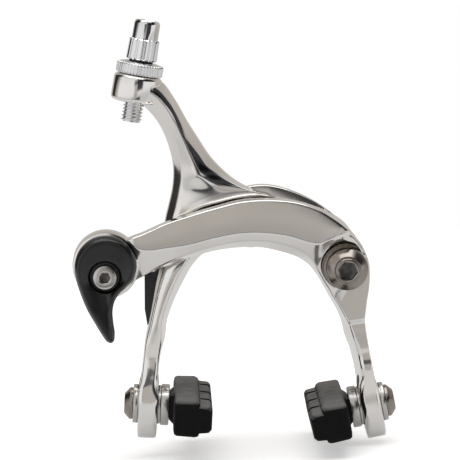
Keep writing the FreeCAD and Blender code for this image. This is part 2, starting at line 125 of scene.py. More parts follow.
# %% Smooth curves through given points
def smooth_through(points, places, wanted):
    """Catmull-Rom through points, which lie at increasing places; gives the point at each wanted place."""
    points = np.array(points, float)
    places = np.array(places, float)
    slopes = np.zeros_like(points)
    steps = (points[1:] - points[:-1]) / (places[1:] - places[:-1])[:, None]
    slopes[0], slopes[-1] = steps[0], steps[-1]
    left = (places[1:-1] - places[:-2])[:, None]
    onward = (places[2:] - places[1:-1])[:, None]
    slopes[1:-1] = (steps[:-1] * onward + steps[1:] * left) / (left + onward)
    i = np.clip(np.searchsorted(places, wanted, side="right") - 1, 0, len(places) - 2)
    span = (places[i + 1] - places[i])[:, None]
    t = ((wanted - places[i])[:, None]) / span
    return ((2 * t**3 - 3 * t**2 + 1) * points[i] + (t**3 - 2 * t**2 + t) * span * slopes[i]
            + (3 * t**2 - 2 * t**3) * points[i + 1] + (t**3 - t**2) * span * slopes[i + 1])


def rounded_ring(corners, radii, per_side, per_corner=6, belly=None):
    """One section: a ring of corners, each rounded off. A belly (side, mm) lets one side swell forwards."""
    n = len(corners)
    starts, ends = [], []
    for k in range(n):
        before, here, after = corners[k - 1], corners[k], corners[(k + 1) % n]
        to_before, to_after = before - here, after - here
        reach_b = min(radii[k], 0.46 * np.linalg.norm(to_before))
        reach_a = min(radii[k], 0.46 * np.linalg.norm(to_after))
        starts.append(here + to_before / max(np.linalg.norm(to_before), 1e-6) * reach_b)
        ends.append(here + to_after / max(np.linalg.norm(to_after), 1e-6) * reach_a)
    ring = []
    for k in range(n):
        for j in range(per_corner):
            t = j / per_corner
            ring.append((1 - t)**2 * starts[k] + 2 * t * (1 - t) * corners[k] + t**2 * ends[k])
        nxt = starts[(k + 1) % n]
        for j in range(per_side[k]):
            spot = ends[k] + (nxt - ends[k]) * (j / per_side[k])
            if belly and k == belly[0]:
                swell = belly[1] * min(1.0, np.linalg.norm(nxt - ends[k]) / 8)
                spot = spot - np.array((0, swell * 4 * (j / per_side[k]) * (1 - j / per_side[k]), 0))
            ring.append(spot)
    return np.array(ring)


# %% [markdown]
# ## From rings to meshes
# Rings of points become quads, and a bmesh pass merges doubles, turns normals outward and keeps only real
# edges crisp. The same few makers give every solid here, whether it is lofted, turned or cut, so all of
# them are closed and shaded alike.

# %% Meshes from rings
CRISP = 38.0                                   # degrees: a sharper edge is left crisp
SAME_POINT = 1e-6                              # metres: closer points are merged


def smooth_faces(work, angle):
    """Smooth shading in a bmesh, but with edges sharper than the angle left crisp."""
    for face in work.faces:
        face.smooth = True
    for edge in work.edges:
        edge.smooth = len(edge.link_faces) != 2 or edge.calc_face_angle(0) < math.radians(angle)


def crisp(piece, angle=CRISP):
    """The same shading for an object that is already there."""
    work = bmesh.new()
    work.from_mesh(piece.data)
    smooth_faces(work, angle)
    work.to_mesh(piece.data)
    work.free()


def placed(name, mesh):
    """An object at the origin that shows a mesh."""
    piece = bpy.data.objects.new(name, mesh)
    bpy.context.scene.collection.objects.link(piece)
    return piece


def one_mesh(name, meshes, angle=CRISP):
    """An object made of several meshes, with doubles merged, normals outward and crisp edges."""
    work = bmesh.new()
    for mesh in meshes:
        work.from_mesh(mesh)
    bmesh.ops.remove_doubles(work, verts=work.verts, dist=SAME_POINT)
    bmesh.ops.recalc_face_normals(work, faces=work.faces)
    smooth_faces(work, angle)
    made = bpy.data.meshes.new(name)
    work.to_mesh(made)
    work.free()
    return placed(name, made)


def mesh_piece(name, points, faces, smooth_angle=CRISP):
    """An object from points in millimetres."""
    raw = bpy.data.meshes.new("raw")
    raw.from_pydata([tuple(float(c) * MM for c in p) for p in points], [], faces)
    piece = one_mesh(name, [raw], smooth_angle)
    bpy.data.meshes.remove(raw)
    return piece


def evaluated_mesh(piece):
    """The plain mesh that an object's modifiers give."""
    return bpy.data.meshes.new_from_object(piece.evaluated_get(bpy.context.evaluated_depsgraph_get()))


def skin(rings, closed_ends=True):
    """Points and faces that join rings of equal length, with a fan on each end."""
    rings = [np.asarray(r) for r in rings]
    n = len(rings[0])
    points = [p for r in rings for p in r]
    faces = []
    for i in range(len(rings) - 1):
        for j in range(n):
            a, b = i * n + j, i * n + (j + 1) % n
            faces.append((a, b, b + n, a + n))
    if closed_ends:
        for start, ring in ((0, rings[0]), ((len(rings) - 1) * n, rings[-1])):
            hub = len(points)
            points.append(ring.mean(axis=0))
            faces.extend((hub, start + j, start + (j + 1) % n) for j in range(n))
    return points, faces


def loft(sections, radii, per_side, step=0.5, belly=None):
    """Rings along smooth rails. sections[i][k] is corner k of section i; radii[i][k] rounds it."""
    sections = np.array(sections, float)
    radii = np.array(radii, float)
    middles = sections.mean(axis=1)
    places = np.concatenate([[0], np.cumsum(np.linalg.norm(np.diff(middles, axis=0), axis=1) + 1e-3)])
    count = max(int(places[-1] / step), 8)
    wanted = np.linspace(0, places[-1], count)
    rails = [smooth_through(sections[:, k], places, wanted) for k in range(sections.shape[1])]
    rounds = [np.interp(wanted, places, radii[:, k]) for k in range(sections.shape[1])]
    return [rounded_ring([rail[i] for rail in rails], [r[i] for r in rounds], per_side, belly=belly)
            for i in range(count)]


def joined(name, parts):
    """One object from several closed shells given as (points, faces)."""
    points, faces = [], []
    for some_points, some_faces in parts:
        base = len(points)
        points.extend(some_points)
        faces.extend(tuple(i + base for i in f) for f in some_faces)
    return mesh_piece(name, points, faces)


def lathe(profile, centre, axis, turns=96):
    """A turned shape: profile is (radius, distance along axis) pairs that start and end on the axis."""
    axis = Vector(axis).normalized()
    side = axis.orthogonal().normalized()
    other = axis.cross(side)
    centre = Vector(centre)
    points, faces, rows = [], [], []
    for radius, along in profile:
        if radius < 1e-6:
            rows.append([len(points)] * turns)
            points.append(tuple(centre + axis * along))
            continue
        rows.append(list(range(len(points), len(points) + turns)))
        for i in range(turns):
            a = 2 * math.pi * i / turns
            points.append(tuple(centre + axis * along + (side * math.cos(a) + other * math.sin(a)) * radius))
    for r0, r1 in zip(rows, rows[1:]):
        for i in range(turns):
            j = (i + 1) % turns
            face = [r0[i], r0[j], r1[j], r1[i]]
            faces.append(tuple(dict.fromkeys(face)))
    return points, [f for f in faces if len(f) > 2]


def cut_away(piece, cutter, overlapping=False):
    """Takes one solid out of another for good, then removes the cutter."""
    change = piece.modifiers.new("cut", "BOOLEAN")
    change.operation = "DIFFERENCE"
    change.solver = "EXACT"
    change.use_self = overlapping
    change.object = cutter
    mesh = evaluated_mesh(piece)
    piece.modifiers.remove(change)
    old = piece.data
    piece.data = mesh
    bpy.data.meshes.remove(old)
    bpy.data.objects.remove(cutter)
    crisp(piece)
    return piece

# %% [markdown]
# ## Finishes
# Each finish is one material. Effects that several metals share live in two shader groups: *grain* is the
# fine unevenness that moulding, plating or polishing leaves, and *handling* is the film of smudges that
# makes some patches duller. The groups only put out values that change over the surface; everything
# constant sits on the shader itself.

# %% Shader groups
def new_group(name, inputs, outputs):
    group = bpy.data.node_groups.new(name, "ShaderNodeTree")
    for label, value in inputs:
        socket = group.interface.new_socket(label, in_out="INPUT", socket_type="NodeSocketFloat")
        socket.default_value = value
    for label in outputs:
        group.interface.new_socket(label, in_out="OUTPUT", socket_type="NodeSocketFloat")
    return group, group.nodes.new("NodeGroupInput"), group.nodes.new("NodeGroupOutput")


def build_grain():
    """Height of a fine grain, stretched by different amounts along each axis."""
    group, given, result = new_group("grain", [("Size mm", 0.3), ("Stretch X", 1.0), ("Stretch Y", 1.0),
                                               ("Stretch Z", 1.0)], ["Height"])
    nodes, links = group.nodes, group.links
    place = nodes.new("ShaderNodeTexCoord")
    stretch = nodes.new("ShaderNodeCombineXYZ")
    for i, label in enumerate(("Stretch X", "Stretch Y", "Stretch Z")):
        links.new(given.outputs[label], stretch.inputs[i])
    scaled = nodes.new("ShaderNodeVectorMath")
    scaled.operation = "DIVIDE"
    links.new(place.outputs["Object"], scaled.inputs[0])
    links.new(stretch.outputs[0], scaled.inputs[1])
    per_metre = nodes.new("ShaderNodeMath")
    per_metre.operation = "DIVIDE"
    per_metre.inputs[0].default_value = 1000.0
    links.new(given.outputs["Size mm"], per_metre.inputs[1])
    noise = nodes.new("ShaderNodeTexNoise")
    noise.inputs["Detail"].default_value = 3.0
    noise.inputs["Roughness"].default_value = 0.6
    links.new(scaled.outputs[0], noise.inputs["Vector"])
    links.new(per_metre.outputs[0], noise.inputs["Scale"])
    links.new(noise.outputs["Fac"], result.inputs["Height"])
    return group


def build_handling():
    """A dull patch mask and a roughness made from it."""
    group, given, result = new_group("handling", [("Clean", 0.1), ("Dull", 0.25), ("Size mm", 9.0)],
                                     ["Roughness", "Mask"])
    nodes, links = group.nodes, group.links
    place = nodes.new("ShaderNodeTexCoord")
    per_metre = nodes.new("ShaderNodeMath")
    per_metre.operation = "DIVIDE"
    per_metre.inputs[0].default_value = 1000.0
    links.new(given.outputs["Size mm"], per_metre.inputs[1])
    noise = nodes.new("ShaderNodeTexNoise")
    noise.inputs["Detail"].default_value = 5.0
    noise.inputs["Distortion"].default_value = 0.4
    links.new(place.outputs["Object"], noise.inputs["Vector"])
    links.new(per_metre.outputs[0], noise.inputs["Scale"])
    patch = nodes.new("ShaderNodeMapRange")
    patch.inputs["From Min"].default_value = 0.38
    patch.inputs["From Max"].default_value = 0.72
    links.new(noise.outputs["Fac"], patch.inputs["Value"])
    rough = nodes.new("ShaderNodeMapRange")
    links.new(patch.outputs[0], rough.inputs["Value"])
    links.new(given.outputs["Clean"], rough.inputs["To Min"])
    links.new(given.outputs["Dull"], rough.inputs["To Max"])
    links.new(rough.outputs[0], result.inputs["Roughness"])
    links.new(patch.outputs[0], result.inputs["Mask"])
    return group


GRAIN, HANDLING = build_grain(), build_handling()
print("shader groups:", GRAIN.name, HANDLING.name)


# %% [markdown]
# ## One maker for every finish
# Metal, nylon and rubber differ in numbers more than in kind. A function sets the constants on the
# shader, mixes a clean and a worn colour by the smudge mask, and presses the grain into a bump. Turned
# steel adds rings round its axis, and rubber adds dust on what faces up.

# %% One maker for every finish
def finish(name, colour, worn, metallic, clean, dull, patch_mm=9.0, grain_mm=0.3, stretch=(1, 1, 1), bump=0.1,
           relief_mm=0.02, rings=None, coat=0.0, specular=0.5, dust=None):
    """A material: two colours mixed by the handling mask, a roughness from it, and bump from the grain."""
    made = bpy.data.materials.new(name)
    made.use_nodes = True
    nodes, links = made.node_tree.nodes, made.node_tree.links
    shader = nodes["Principled BSDF"]
    shader.inputs["Metallic"].default_value = metallic
    shader.inputs["Specular IOR Level"].default_value = specular
    shader.inputs["Coat Weight"].default_value = coat
    shader.inputs["Coat Roughness"].default_value = 0.12
    film = nodes.new("ShaderNodeGroup")
    film.node_tree = HANDLING
    film.inputs["Clean"].default_value = clean
    film.inputs["Dull"].default_value = dull
    film.inputs["Size mm"].default_value = patch_mm
    links.new(film.outputs["Roughness"], shader.inputs["Roughness"])
    mix = nodes.new("ShaderNodeMix")
    mix.data_type = "RGBA"
    mix.inputs["A"].default_value = (*colour, 1)
    mix.inputs["B"].default_value = (*worn, 1)
    links.new(film.outputs["Mask"], mix.inputs["Factor"])
    tint = mix.outputs["Result"]
    if dust:
        facing = nodes.new("ShaderNodeSeparateXYZ")
        links.new(nodes.new("ShaderNodeNewGeometry").outputs["Normal"], facing.inputs[0])
        upward = nodes.new("ShaderNodeMapRange")
        upward.inputs["From Min"].default_value = 0.45
        upward.inputs["From Max"].default_value = 0.95
        links.new(facing.outputs["Z"], upward.inputs["Value"])
        dusty = nodes.new("ShaderNodeMix")
        dusty.data_type = "RGBA"
        dusty.inputs["B"].default_value = (*dust, 1)
        links.new(upward.outputs[0], dusty.inputs["Factor"])
        links.new(tint, dusty.inputs["A"])
        tint = dusty.outputs["Result"]
    links.new(tint, shader.inputs["Base Color"])
    grain = nodes.new("ShaderNodeGroup")
    grain.node_tree = GRAIN
    grain.inputs["Size mm"].default_value = grain_mm
    for label, value in zip(("Stretch X", "Stretch Y", "Stretch Z"), stretch):
        grain.inputs[label].default_value = value
    height = grain.outputs["Height"]
    if rings:
        centre, axis = rings
        spot = nodes.new("ShaderNodeTexCoord")
        mapping = nodes.new("ShaderNodeMapping")
        mapping.inputs["Location"].default_value = [-c * MM for c in centre]
        turned = nodes.new("ShaderNodeTexWave")
        turned.wave_type = "RINGS"
        turned.rings_direction = axis
        turned.inputs["Scale"].default_value = 900.0
        turned.inputs["Distortion"].default_value = 1.5
        turned.inputs["Detail"].default_value = 2.0
        links.new(spot.outputs["Object"], mapping.inputs["Vector"])
        links.new(mapping.outputs[0], turned.inputs["Vector"])
        add = nodes.new("ShaderNodeMath")
        add.operation = "MULTIPLY_ADD"
        add.inputs[1].default_value = 0.6
        links.new(turned.outputs["Fac"], add.inputs[0])
        links.new(height, add.inputs[2])
        height = add.outputs[0]
    relief = nodes.new("ShaderNodeBump")
    relief.inputs["Strength"].default_value = bump
    relief.inputs["Distance"].default_value = relief_mm * MM
    links.new(height, relief.inputs["Height"])
    links.new(relief.outputs[0], shader.inputs["Normal"])
    return made


# %% [markdown]
# ## The finishes of this caliper
# Ten surfaces: polished and anodised alloy, three platings, spring wire, two plastics and two rubbers.
# They are one table, so that they can be compared. The numbers are metal, clean and worn roughness, patch
# size, grain size, stretch, bump and relief.

# %% The finishes of this caliper
SIDE = pivot("short_arm_close")
side_axis = ((SIDE[0], 0.0, SIDE[1]), "Y")
FINISHES = {
    "polished_alloy": finish("polished alloy", (0.82, 0.80, 0.775), (0.79, 0.765, 0.735), 1.0, 0.09, 0.17,
                             14.0, 0.5, (1, 1, 4), 0.05, 0.01),
    "bolt_steel": finish("nickelled bolt", (0.34, 0.305, 0.275), (0.28, 0.25, 0.225), 1.0, 0.2, 0.28, 9.0,
                         0.2, (1, 1, 1), 0.04, 0.004, rings=side_axis),
    "zinc_steel": finish("zinc plate", (0.60, 0.585, 0.56), (0.50, 0.485, 0.46), 1.0, 0.18, 0.3, 6.0,
                         0.15, (1, 1, 1), 0.08, 0.006),
    "barrel_chrome": finish("bright chrome", (0.80, 0.80, 0.80), (0.76, 0.76, 0.77), 1.0, 0.05, 0.12, 5.0,
                            0.4, (1, 1, 1), 0.05, 0.01),
    "spring_steel": finish("spring wire", (0.42, 0.42, 0.42), (0.30, 0.30, 0.30), 1.0, 0.22, 0.4, 4.0,
                           0.2, (1, 1, 1), 0.2, 0.01),
    "black_alloy": finish("black anodised lever", (0.004, 0.004, 0.004), (0.009, 0.0085, 0.0085), 0.0, 0.26,
                          0.36, 6.0, 0.12, (1, 1, 1), 0.15, 0.01, specular=0.55),
    "black_nylon": finish("black nylon", (0.014, 0.014, 0.015), (0.022, 0.022, 0.023), 0.0, 0.4, 0.55, 5.0,
                          0.15, (1, 1, 1), 0.35, 0.02),
    "bearing_nylon": finish("bearing plastic", (0.62, 0.60, 0.52), (0.52, 0.50, 0.43), 0.0, 0.45, 0.6, 3.0,
                            0.2, (1, 1, 1), 0.2, 0.02),
    "pad_rubber": finish("moulded rubber", (0.003, 0.003, 0.003), (0.008, 0.0078, 0.0075), 0.0, 0.5, 0.8, 3.2,
                         0.35, (1, 1, 1), 0.6, 0.07, specular=0.12, dust=(0.17, 0.167, 0.163)),
    "ring_rubber": finish("ring rubber", (0.015, 0.015, 0.015), (0.03, 0.03, 0.03), 0.0, 0.5, 0.6, 2.0,
                          0.1, (1, 1, 1), 0.2, 0.02),
}


def dress(piece, body, slot, *stands_for):
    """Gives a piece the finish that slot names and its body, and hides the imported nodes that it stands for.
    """
    piece.data.materials.clear()
    piece.data.materials.append(FINISHES[slot])
    if stands_for:
        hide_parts(*stands_for)
    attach(piece, body)
    print(piece.name, "rides on", body, "with", len(piece.data.polygons), "faces")
    return piece


slot_of = {entry["node"]: entry["material_slot"] for entry in frame["record"]["subparts"]}
for name, packed in frame["nodes"].items():
    for holder in packed.material_slots:
        holder.material = FINISHES[slot_of[name]]
print("finishes:", len(FINISHES))

# %% [markdown]
# ## The short arm
# The arm in front starts at the quick-release boss, arches over the tyre and turns down into the right
# leg. Its section has five corners: the back of the top, the front of the top, the crisp ridge under the
# front face, the lower edge of the broad flank, and the back of the underside. A loft through such
# sections gives all of the arm but its boss, its lug and what is milled out of it.

# %% Where the moving axes are
LEVER = pivot("quick_release_turn")
ANCHOR = (LEVER[0] - 0.4, LEVER[1] - 2.9)      # the bolt sits off the lever's axis, like a cam
CABLE_Y = -18.5                                # depth of the cable and of both pads' studs


class LegFrame:
    """Directions at a pad's stud: u points to the rim and v runs up the slot."""

    def __init__(self, middle, side, lean):
        a = math.radians(lean)
        self.middle = middle
        self.u = Vector((side * math.cos(a), 0, -math.sin(a)))
        self.v = Vector((side * math.sin(a), 0, math.cos(a)))

    def at(self, u, v, y=CABLE_Y):
        spot = Vector((self.middle[0], 0, self.middle[1])) + self.u * u + self.v * v
        return (spot.x, y, spot.z)


LEFT = LegFrame(pivot("left_pad_tilt"), 1, 6.0)
RIGHT = LegFrame(pivot("right_pad_tilt"), -1, 7.5)
print("left stud along", tuple(round(c, 3) for c in LEFT.u))


# %% [markdown]
# ## The legs' tips
# Seen from the side, each leg ends in a half circle round its slot. The last sections of both lofts follow a
# formula for that, with the blade thinning slightly, instead of more listed rings.

# %% Rounded tips of the legs
BLADE = 2.9                                    # half the thickness of a leg at its slot
BLADE_FRONT, BLADE_REAR = -25.3, -11.7
LEG_END, BLADE_TOP = -10.0, 5.4                # along the leg, from the stud's middle place


def leg_tip(leg):
    """Last sections of a leg: the blade's tip is a half circle in the side view."""
    middle, radius = (BLADE_FRONT + BLADE_REAR) / 2, (BLADE_REAR - BLADE_FRONT) / 2
    sections, radii = [], []
    for turn in (0, 25, 45, 60, 72, 81, 87):
        a = math.radians(turn)
        v = LEG_END + radius * (1 - math.sin(a))
        half = radius * math.cos(a)
        thick = BLADE * (1 - 0.12 * math.sin(a) ** 6)
        sections.append([leg.at(-thick, v, middle + half), leg.at(-thick, v, middle - half),
                         leg.at(-thick * 0.2, v, middle - half), leg.at(thick, v, middle - half),
                         leg.at(thick, v, middle + half)])
        soft = min(2.3, half * 0.9)
        radii.append([min(1.2, soft), soft, soft, soft, min(1.2, soft)])
    return sections, radii


# %% [markdown]
# ## The short arm's sections
# Each line is one section, from the boss on the left to the foot of the right leg. Where the shape turns
# quickly, as at the side pivot and the machined line below it, the sections lie closer together.

# %% Sections of the short arm
def ring5(top, ridge, flank, under, front, ridge_y, flank_y, under_y, rear):
    """Corners in order: top rear, top front, ridge, flank's lower edge, underside rear."""
    return [(top[0], rear, top[1]), (top[0], front, top[1]), (ridge[0], ridge_y, ridge[1]),
            (flank[0], flank_y, flank[1]), (under[0], under_y, under[1])]


short_sections = [
    ring5((-38.6, -0.9), (-38.6, -3.4), (-38.2, -14.3), (-38.2, -15.0), -31.0, -31.0, -27.2, -24.5, -24.5),
    ring5((-36.8, -1.0), (-36.8, -2.4), (-36.8, -14.2), (-36.8, -14.8), -31.9, -31.8, -27.3, -25.5, -25.5),
    ring5((-35.4, -0.8), (-35.4, -2.0), (-35.6, -13.9), (-35.6, -14.5), -32.8, -32.7, -27.4, -25.5, -25.5),
    ring5((-34.3, -0.4), (-34.3, -2.6), (-34.4, -13.4), (-34.4, -13.8), -33.0, -33.0, -27.5, -25.5, -25.5),
    ring5((-33.3, -0.1), (-33.4, -3.5), (-33.5, -13.0), (-33.5, -13.4), -33.0, -33.0, -27.5, -25.5, -25.5),
    ring5((-32.2, 0.2), (-32.5, -4.0), (-32.4, -12.5), (-32.4, -12.9), -33.0, -33.0, -27.5, -25.5, -25.5),
    ring5((-29.2, 1.3), (-29.8, -4.5), (-29.8, -11.0), (-29.8, -12.0), -33.0, -33.0, -29.0, -25.5, -25.5),
    ring5((-25.4, 2.8), (-25.6, -4.2), (-25.4, -8.9), (-25.4, -10.3), -33.0, -33.0, -30.3, -25.5, -25.5),
    ring5((-17.5, 5.0), (-18.0, -3.5), (-18.0, -6.2), (-17.8, -8.1), -33.0, -33.0, -31.2, -25.5, -25.5),
    ring5((-10.2, 6.7), (-10.4, -2.0), (-10.4, -4.4), (-10.4, -6.5), -33.0, -33.0, -31.4, -25.5, -25.5),
    ring5((-2.0, 8.2), (-2.3, -1.1), (-2.4, -3.4), (-2.4, -6.1), -33.0, -33.0, -31.4, -25.5, -25.5),
    ring5((6.4, 8.1), (5.0, -1.6), (4.4, -3.9), (3.2, -6.6), -33.0, -33.0, -31.4, -25.5, -25.5),
    ring5((14.0, 6.8), (11.1, -2.9), (10.1, -5.4), (7.8, -7.9), -33.0, -33.0, -31.2, -25.5, -25.5),
    ring5((19.6, 4.5), (16.2, -4.8), (14.5, -7.6), (12.2, -9.6), -33.0, -33.0, -30.6, -25.2, -24.0),
    ring5((23.6, 1.8), (19.6, -5.3), (17.2, -10.6), (15.4, -12.0), -33.0, -33.0, -29.0, -22.0, -17.5),
    ring5((26.2, -0.3), (23.0, -4.1), (18.7, -14.1), (17.2, -14.3), -33.0, -33.0, -27.0, -17.5, -13.0),
    ring5((28.0, -2.1), (26.4, -3.2), (20.2, -17.2), (18.9, -17.2), -33.0, -33.0, -26.3, -13.5, -11.6),
    ring5((29.2, -3.9), (28.6, -4.1), (21.6, -19.7), (20.4, -20.2), -31.6, -31.4, -26.1, -11.5, -11.5),
    ring5((31.0, -6.4), (30.5, -6.6), (22.8, -22.2), (21.6, -22.8), -27.4, -27.2, -26.0, -11.5, -11.5),
    ring5((32.8, -9.4), (32.2, -9.6), (24.0, -24.2), (22.8, -25.2), -26.0, -26.0, -26.0, -11.5, -11.5),
    ring5((33.8, -13.6), (33.2, -13.8), (24.7, -25.6), (23.6, -26.8), -26.0, -26.0, -26.0, -11.5, -11.5),
    ring5((33.5, -19.0), (32.9, -19.1), (25.3, -26.9), (24.2, -28.2), -26.0, -26.0, -26.0, -11.5, -11.5),
    ring5((32.4, -24.6), (31.8, -24.7), (25.9, -28.2), (24.7, -29.6), -26.0, -26.0, -26.0, -11.5, -11.5),
    ring5((31.8, -28.2), (31.2, -28.3), (26.3, -29.0), (25.0, -30.7), -26.0, -26.0, -26.0, -11.5, -11.5),
    ring5((31.65, -29.0), (31.1, -29.1), (26.5, -29.5), (25.1, -31.2), -26.0, -26.0, -26.0, -11.5, -11.5),
    ring5((31.65, -29.6), (31.1, -29.7), (26.7, -30.0), (25.2, -31.7), -25.45, -25.45, -25.45, -11.5, -11.5),
    ring5((31.7, -30.4), (31.15, -30.5), (27.0, -30.8), (25.3, -32.4), -25.4, -25.4, -25.4, -11.5, -11.5),
    ring5((31.9, -32.8), (31.3, -32.9), (27.7, -33.4), (25.6, -34.6), -25.4, -25.4, -25.4, -11.5, -11.5),
    ring5((32.4, -37.2), (31.8, -37.2), (28.8, -37.8), (26.9, -38.6), -25.32, -25.32, -25.32, -11.5, -11.5),
    ring5((32.75, -39.9), (31.9, -39.9), (29.2, -40.2),
          (27.4, -40.8), -25.26, -25.26, -25.26, -11.55, -11.55),
    ring5((33.2, -43.2), (32.05, -43.2), (29.6, -43.3), (27.95, -43.5), -25.68, -25.68, -25.68, -11.6, -11.6),
    ring5((33.7, -46.4), (32.2, -46.4), (29.8, -46.4), (28.4, -46.4), -25.6, -25.6, -25.6, -11.7, -11.7),
]
short_radii = [[1.0, 0.6, 0.5, 0.5, 1.0]] * 14 + [[1.0, 0.7, 0.5, 0.6, 1.2]] * 3
short_radii += [[1.2, 1.0, 0.5, 0.6, 1.4]] * 9 + [[1.2, 1.2, 0.8, 0.7, 1.6], [1.2, 1.3, 1.0, 0.8, 1.8]]
short_radii += [[1.3, 1.6, 1.2, 1.1, 1.8], [1.3, 1.6, 1.4, 1.3, 1.7], [1.3, 2.0, 1.6, 1.6, 1.6]]
short_radii += [[1.2, 2.2, 2.0, 2.1, 1.3]]
tip_sections, tip_radii = leg_tip(RIGHT)
BLADE_CORNERS = [(-BLADE, BLADE_REAR), (-BLADE, -25.4), (-0.6, -25.4), (BLADE, -25.4), (BLADE, BLADE_REAR)]
short_sections += [[RIGHT.at(u, BLADE_TOP, y) for u, y in BLADE_CORNERS]] + tip_sections
short_radii += [[1.2, 2.3, 2.3, 2.3, 1.2]] + tip_radii
print("short arm:", len(short_sections), "sections")


# %% [markdown]
# ## Joining the short arm
# The boss is a turned drum and the lug for the centring screw is a small skin of its own. They overlap
# the loft as closed shells, which is enough until the cuts join them for good.

# %% Arch, boss and screw lug
arm_points, arm_faces = skin(loft(short_sections, short_radii, (12, 22, 16, 8, 8), step=0.42, belly=(1, 0.1)))
BOSS = [(0, -31.0), (9.1, -31.0), (9.45, -30.85), (9.6, -30.5), (9.6, -21.6), (8.9, -21.0), (0, -21.0)]
boss = lathe(BOSS, (LEVER[0], 0, LEVER[1]), (0, 1, 0), 128)
lug = skin([[(18.4, y, 4.0), (24.0, y, 0.9), (27.6, y, -3.2), (24.2, y, -5.2), (22.4, y, -1.5),
            (17.9, y, 2.6)]
            for y in (-25.8, -14.0, -13.0)])
short_arm = joined("short_arm_polished", [(arm_points, arm_faces), boss, lug])


# %% [markdown]
# ## Scoop, slot and pocket
# On the real arm these are milled. A Boolean does the same: a turned cutter for the scoop round the bolt
# and for the lever's pocket, and a round-ended bar for the slot. A Boolean can drop a part when shells
# fold, so the result is measured and the script stops if something is lost.

# %% Cut the scoop, the slot and the pocket
def slot_cutter(leg, half=3.1, low=-4.0, high=6.0):
    """A long round-ended bar that passes through a leg."""
    ring = []
    for end, start in ((high, 0), (low, 180)):
        for i in range(25):
            a = math.radians(start + 180 * i / 24)
            ring.append((end + half * math.sin(a), half * math.cos(a)))
    rows = [[leg.at(u, v, CABLE_Y + y) for v, y in ring] for u in (-8, 8)]
    return mesh_piece("cutter", *skin(rows))


SCOOP = [(0, -26.13), (6.2, -26.13), (6.6, -26.3), (7.0, -26.65), (7.35, -27.2), (7.6, -27.9), (7.8, -28.9),
         (8.0, -30.2), (8.3, -31.3), (8.8, -32.1), (9.5, -32.7), (10.4, -33.05), (11.0, -33.14),
         (11.4, -34.0),
         (0, -34.0)]
scoop = mesh_piece("cutter", *lathe(SCOOP, (SIDE[0], 0, SIDE[1]), (0, 1, 0), 160))
cut_away(short_arm, scoop, overlapping=True)
cut_away(short_arm, slot_cutter(RIGHT))
pocket = [(0, -31.02), (9.2, -31.02), (9.32, -31.08), (9.4, -31.3), (9.4, -40.0), (0, -40.0)]
cut_away(short_arm, mesh_piece("cutter", *lathe(pocket, (LEVER[0], 0, LEVER[1]), (0, 1, 0), 160)))
span = np.array([v.co[:] for v in short_arm.data.vertices]) * 1000
assert span[:, 2].min() < -60 and span[:, 0].min() < -51, "the cuts lost part of the short arm"
print("short arm:", len(short_arm.data.polygons), "faces")

# %% [markdown]
# ## The long arm
# Behind the arch is the arm that carries the cable. It hangs from a thick eye at the top, narrows,
# spreads over the centre pivot and ends in the left leg. Its front is faceted: a grey flank on the left,
# a bright crest, a hollow that mirrors the dark room, and a broad bevel on the right. Seven corners in
# each section hold those facets.

# %% Sections of the long arm
def ring7(left, left_ridge, crest, right_ridge, right, front, rear=-12.5):
    """Corners: left rear, left front, left ridge, crest, right ridge, right front, right rear."""
    y_left, y_lridge, y_crest, y_rridge, y_right = front
    return [(left[0], rear, left[1]), (left[0], y_left, left[1]), (left_ridge[0], y_lridge, left_ridge[1]),
            (crest[0], y_crest, crest[1]), (right_ridge[0], y_rridge, right_ridge[1]),
            (right[0], y_right, right[1]), (right[0], rear, right[1])]


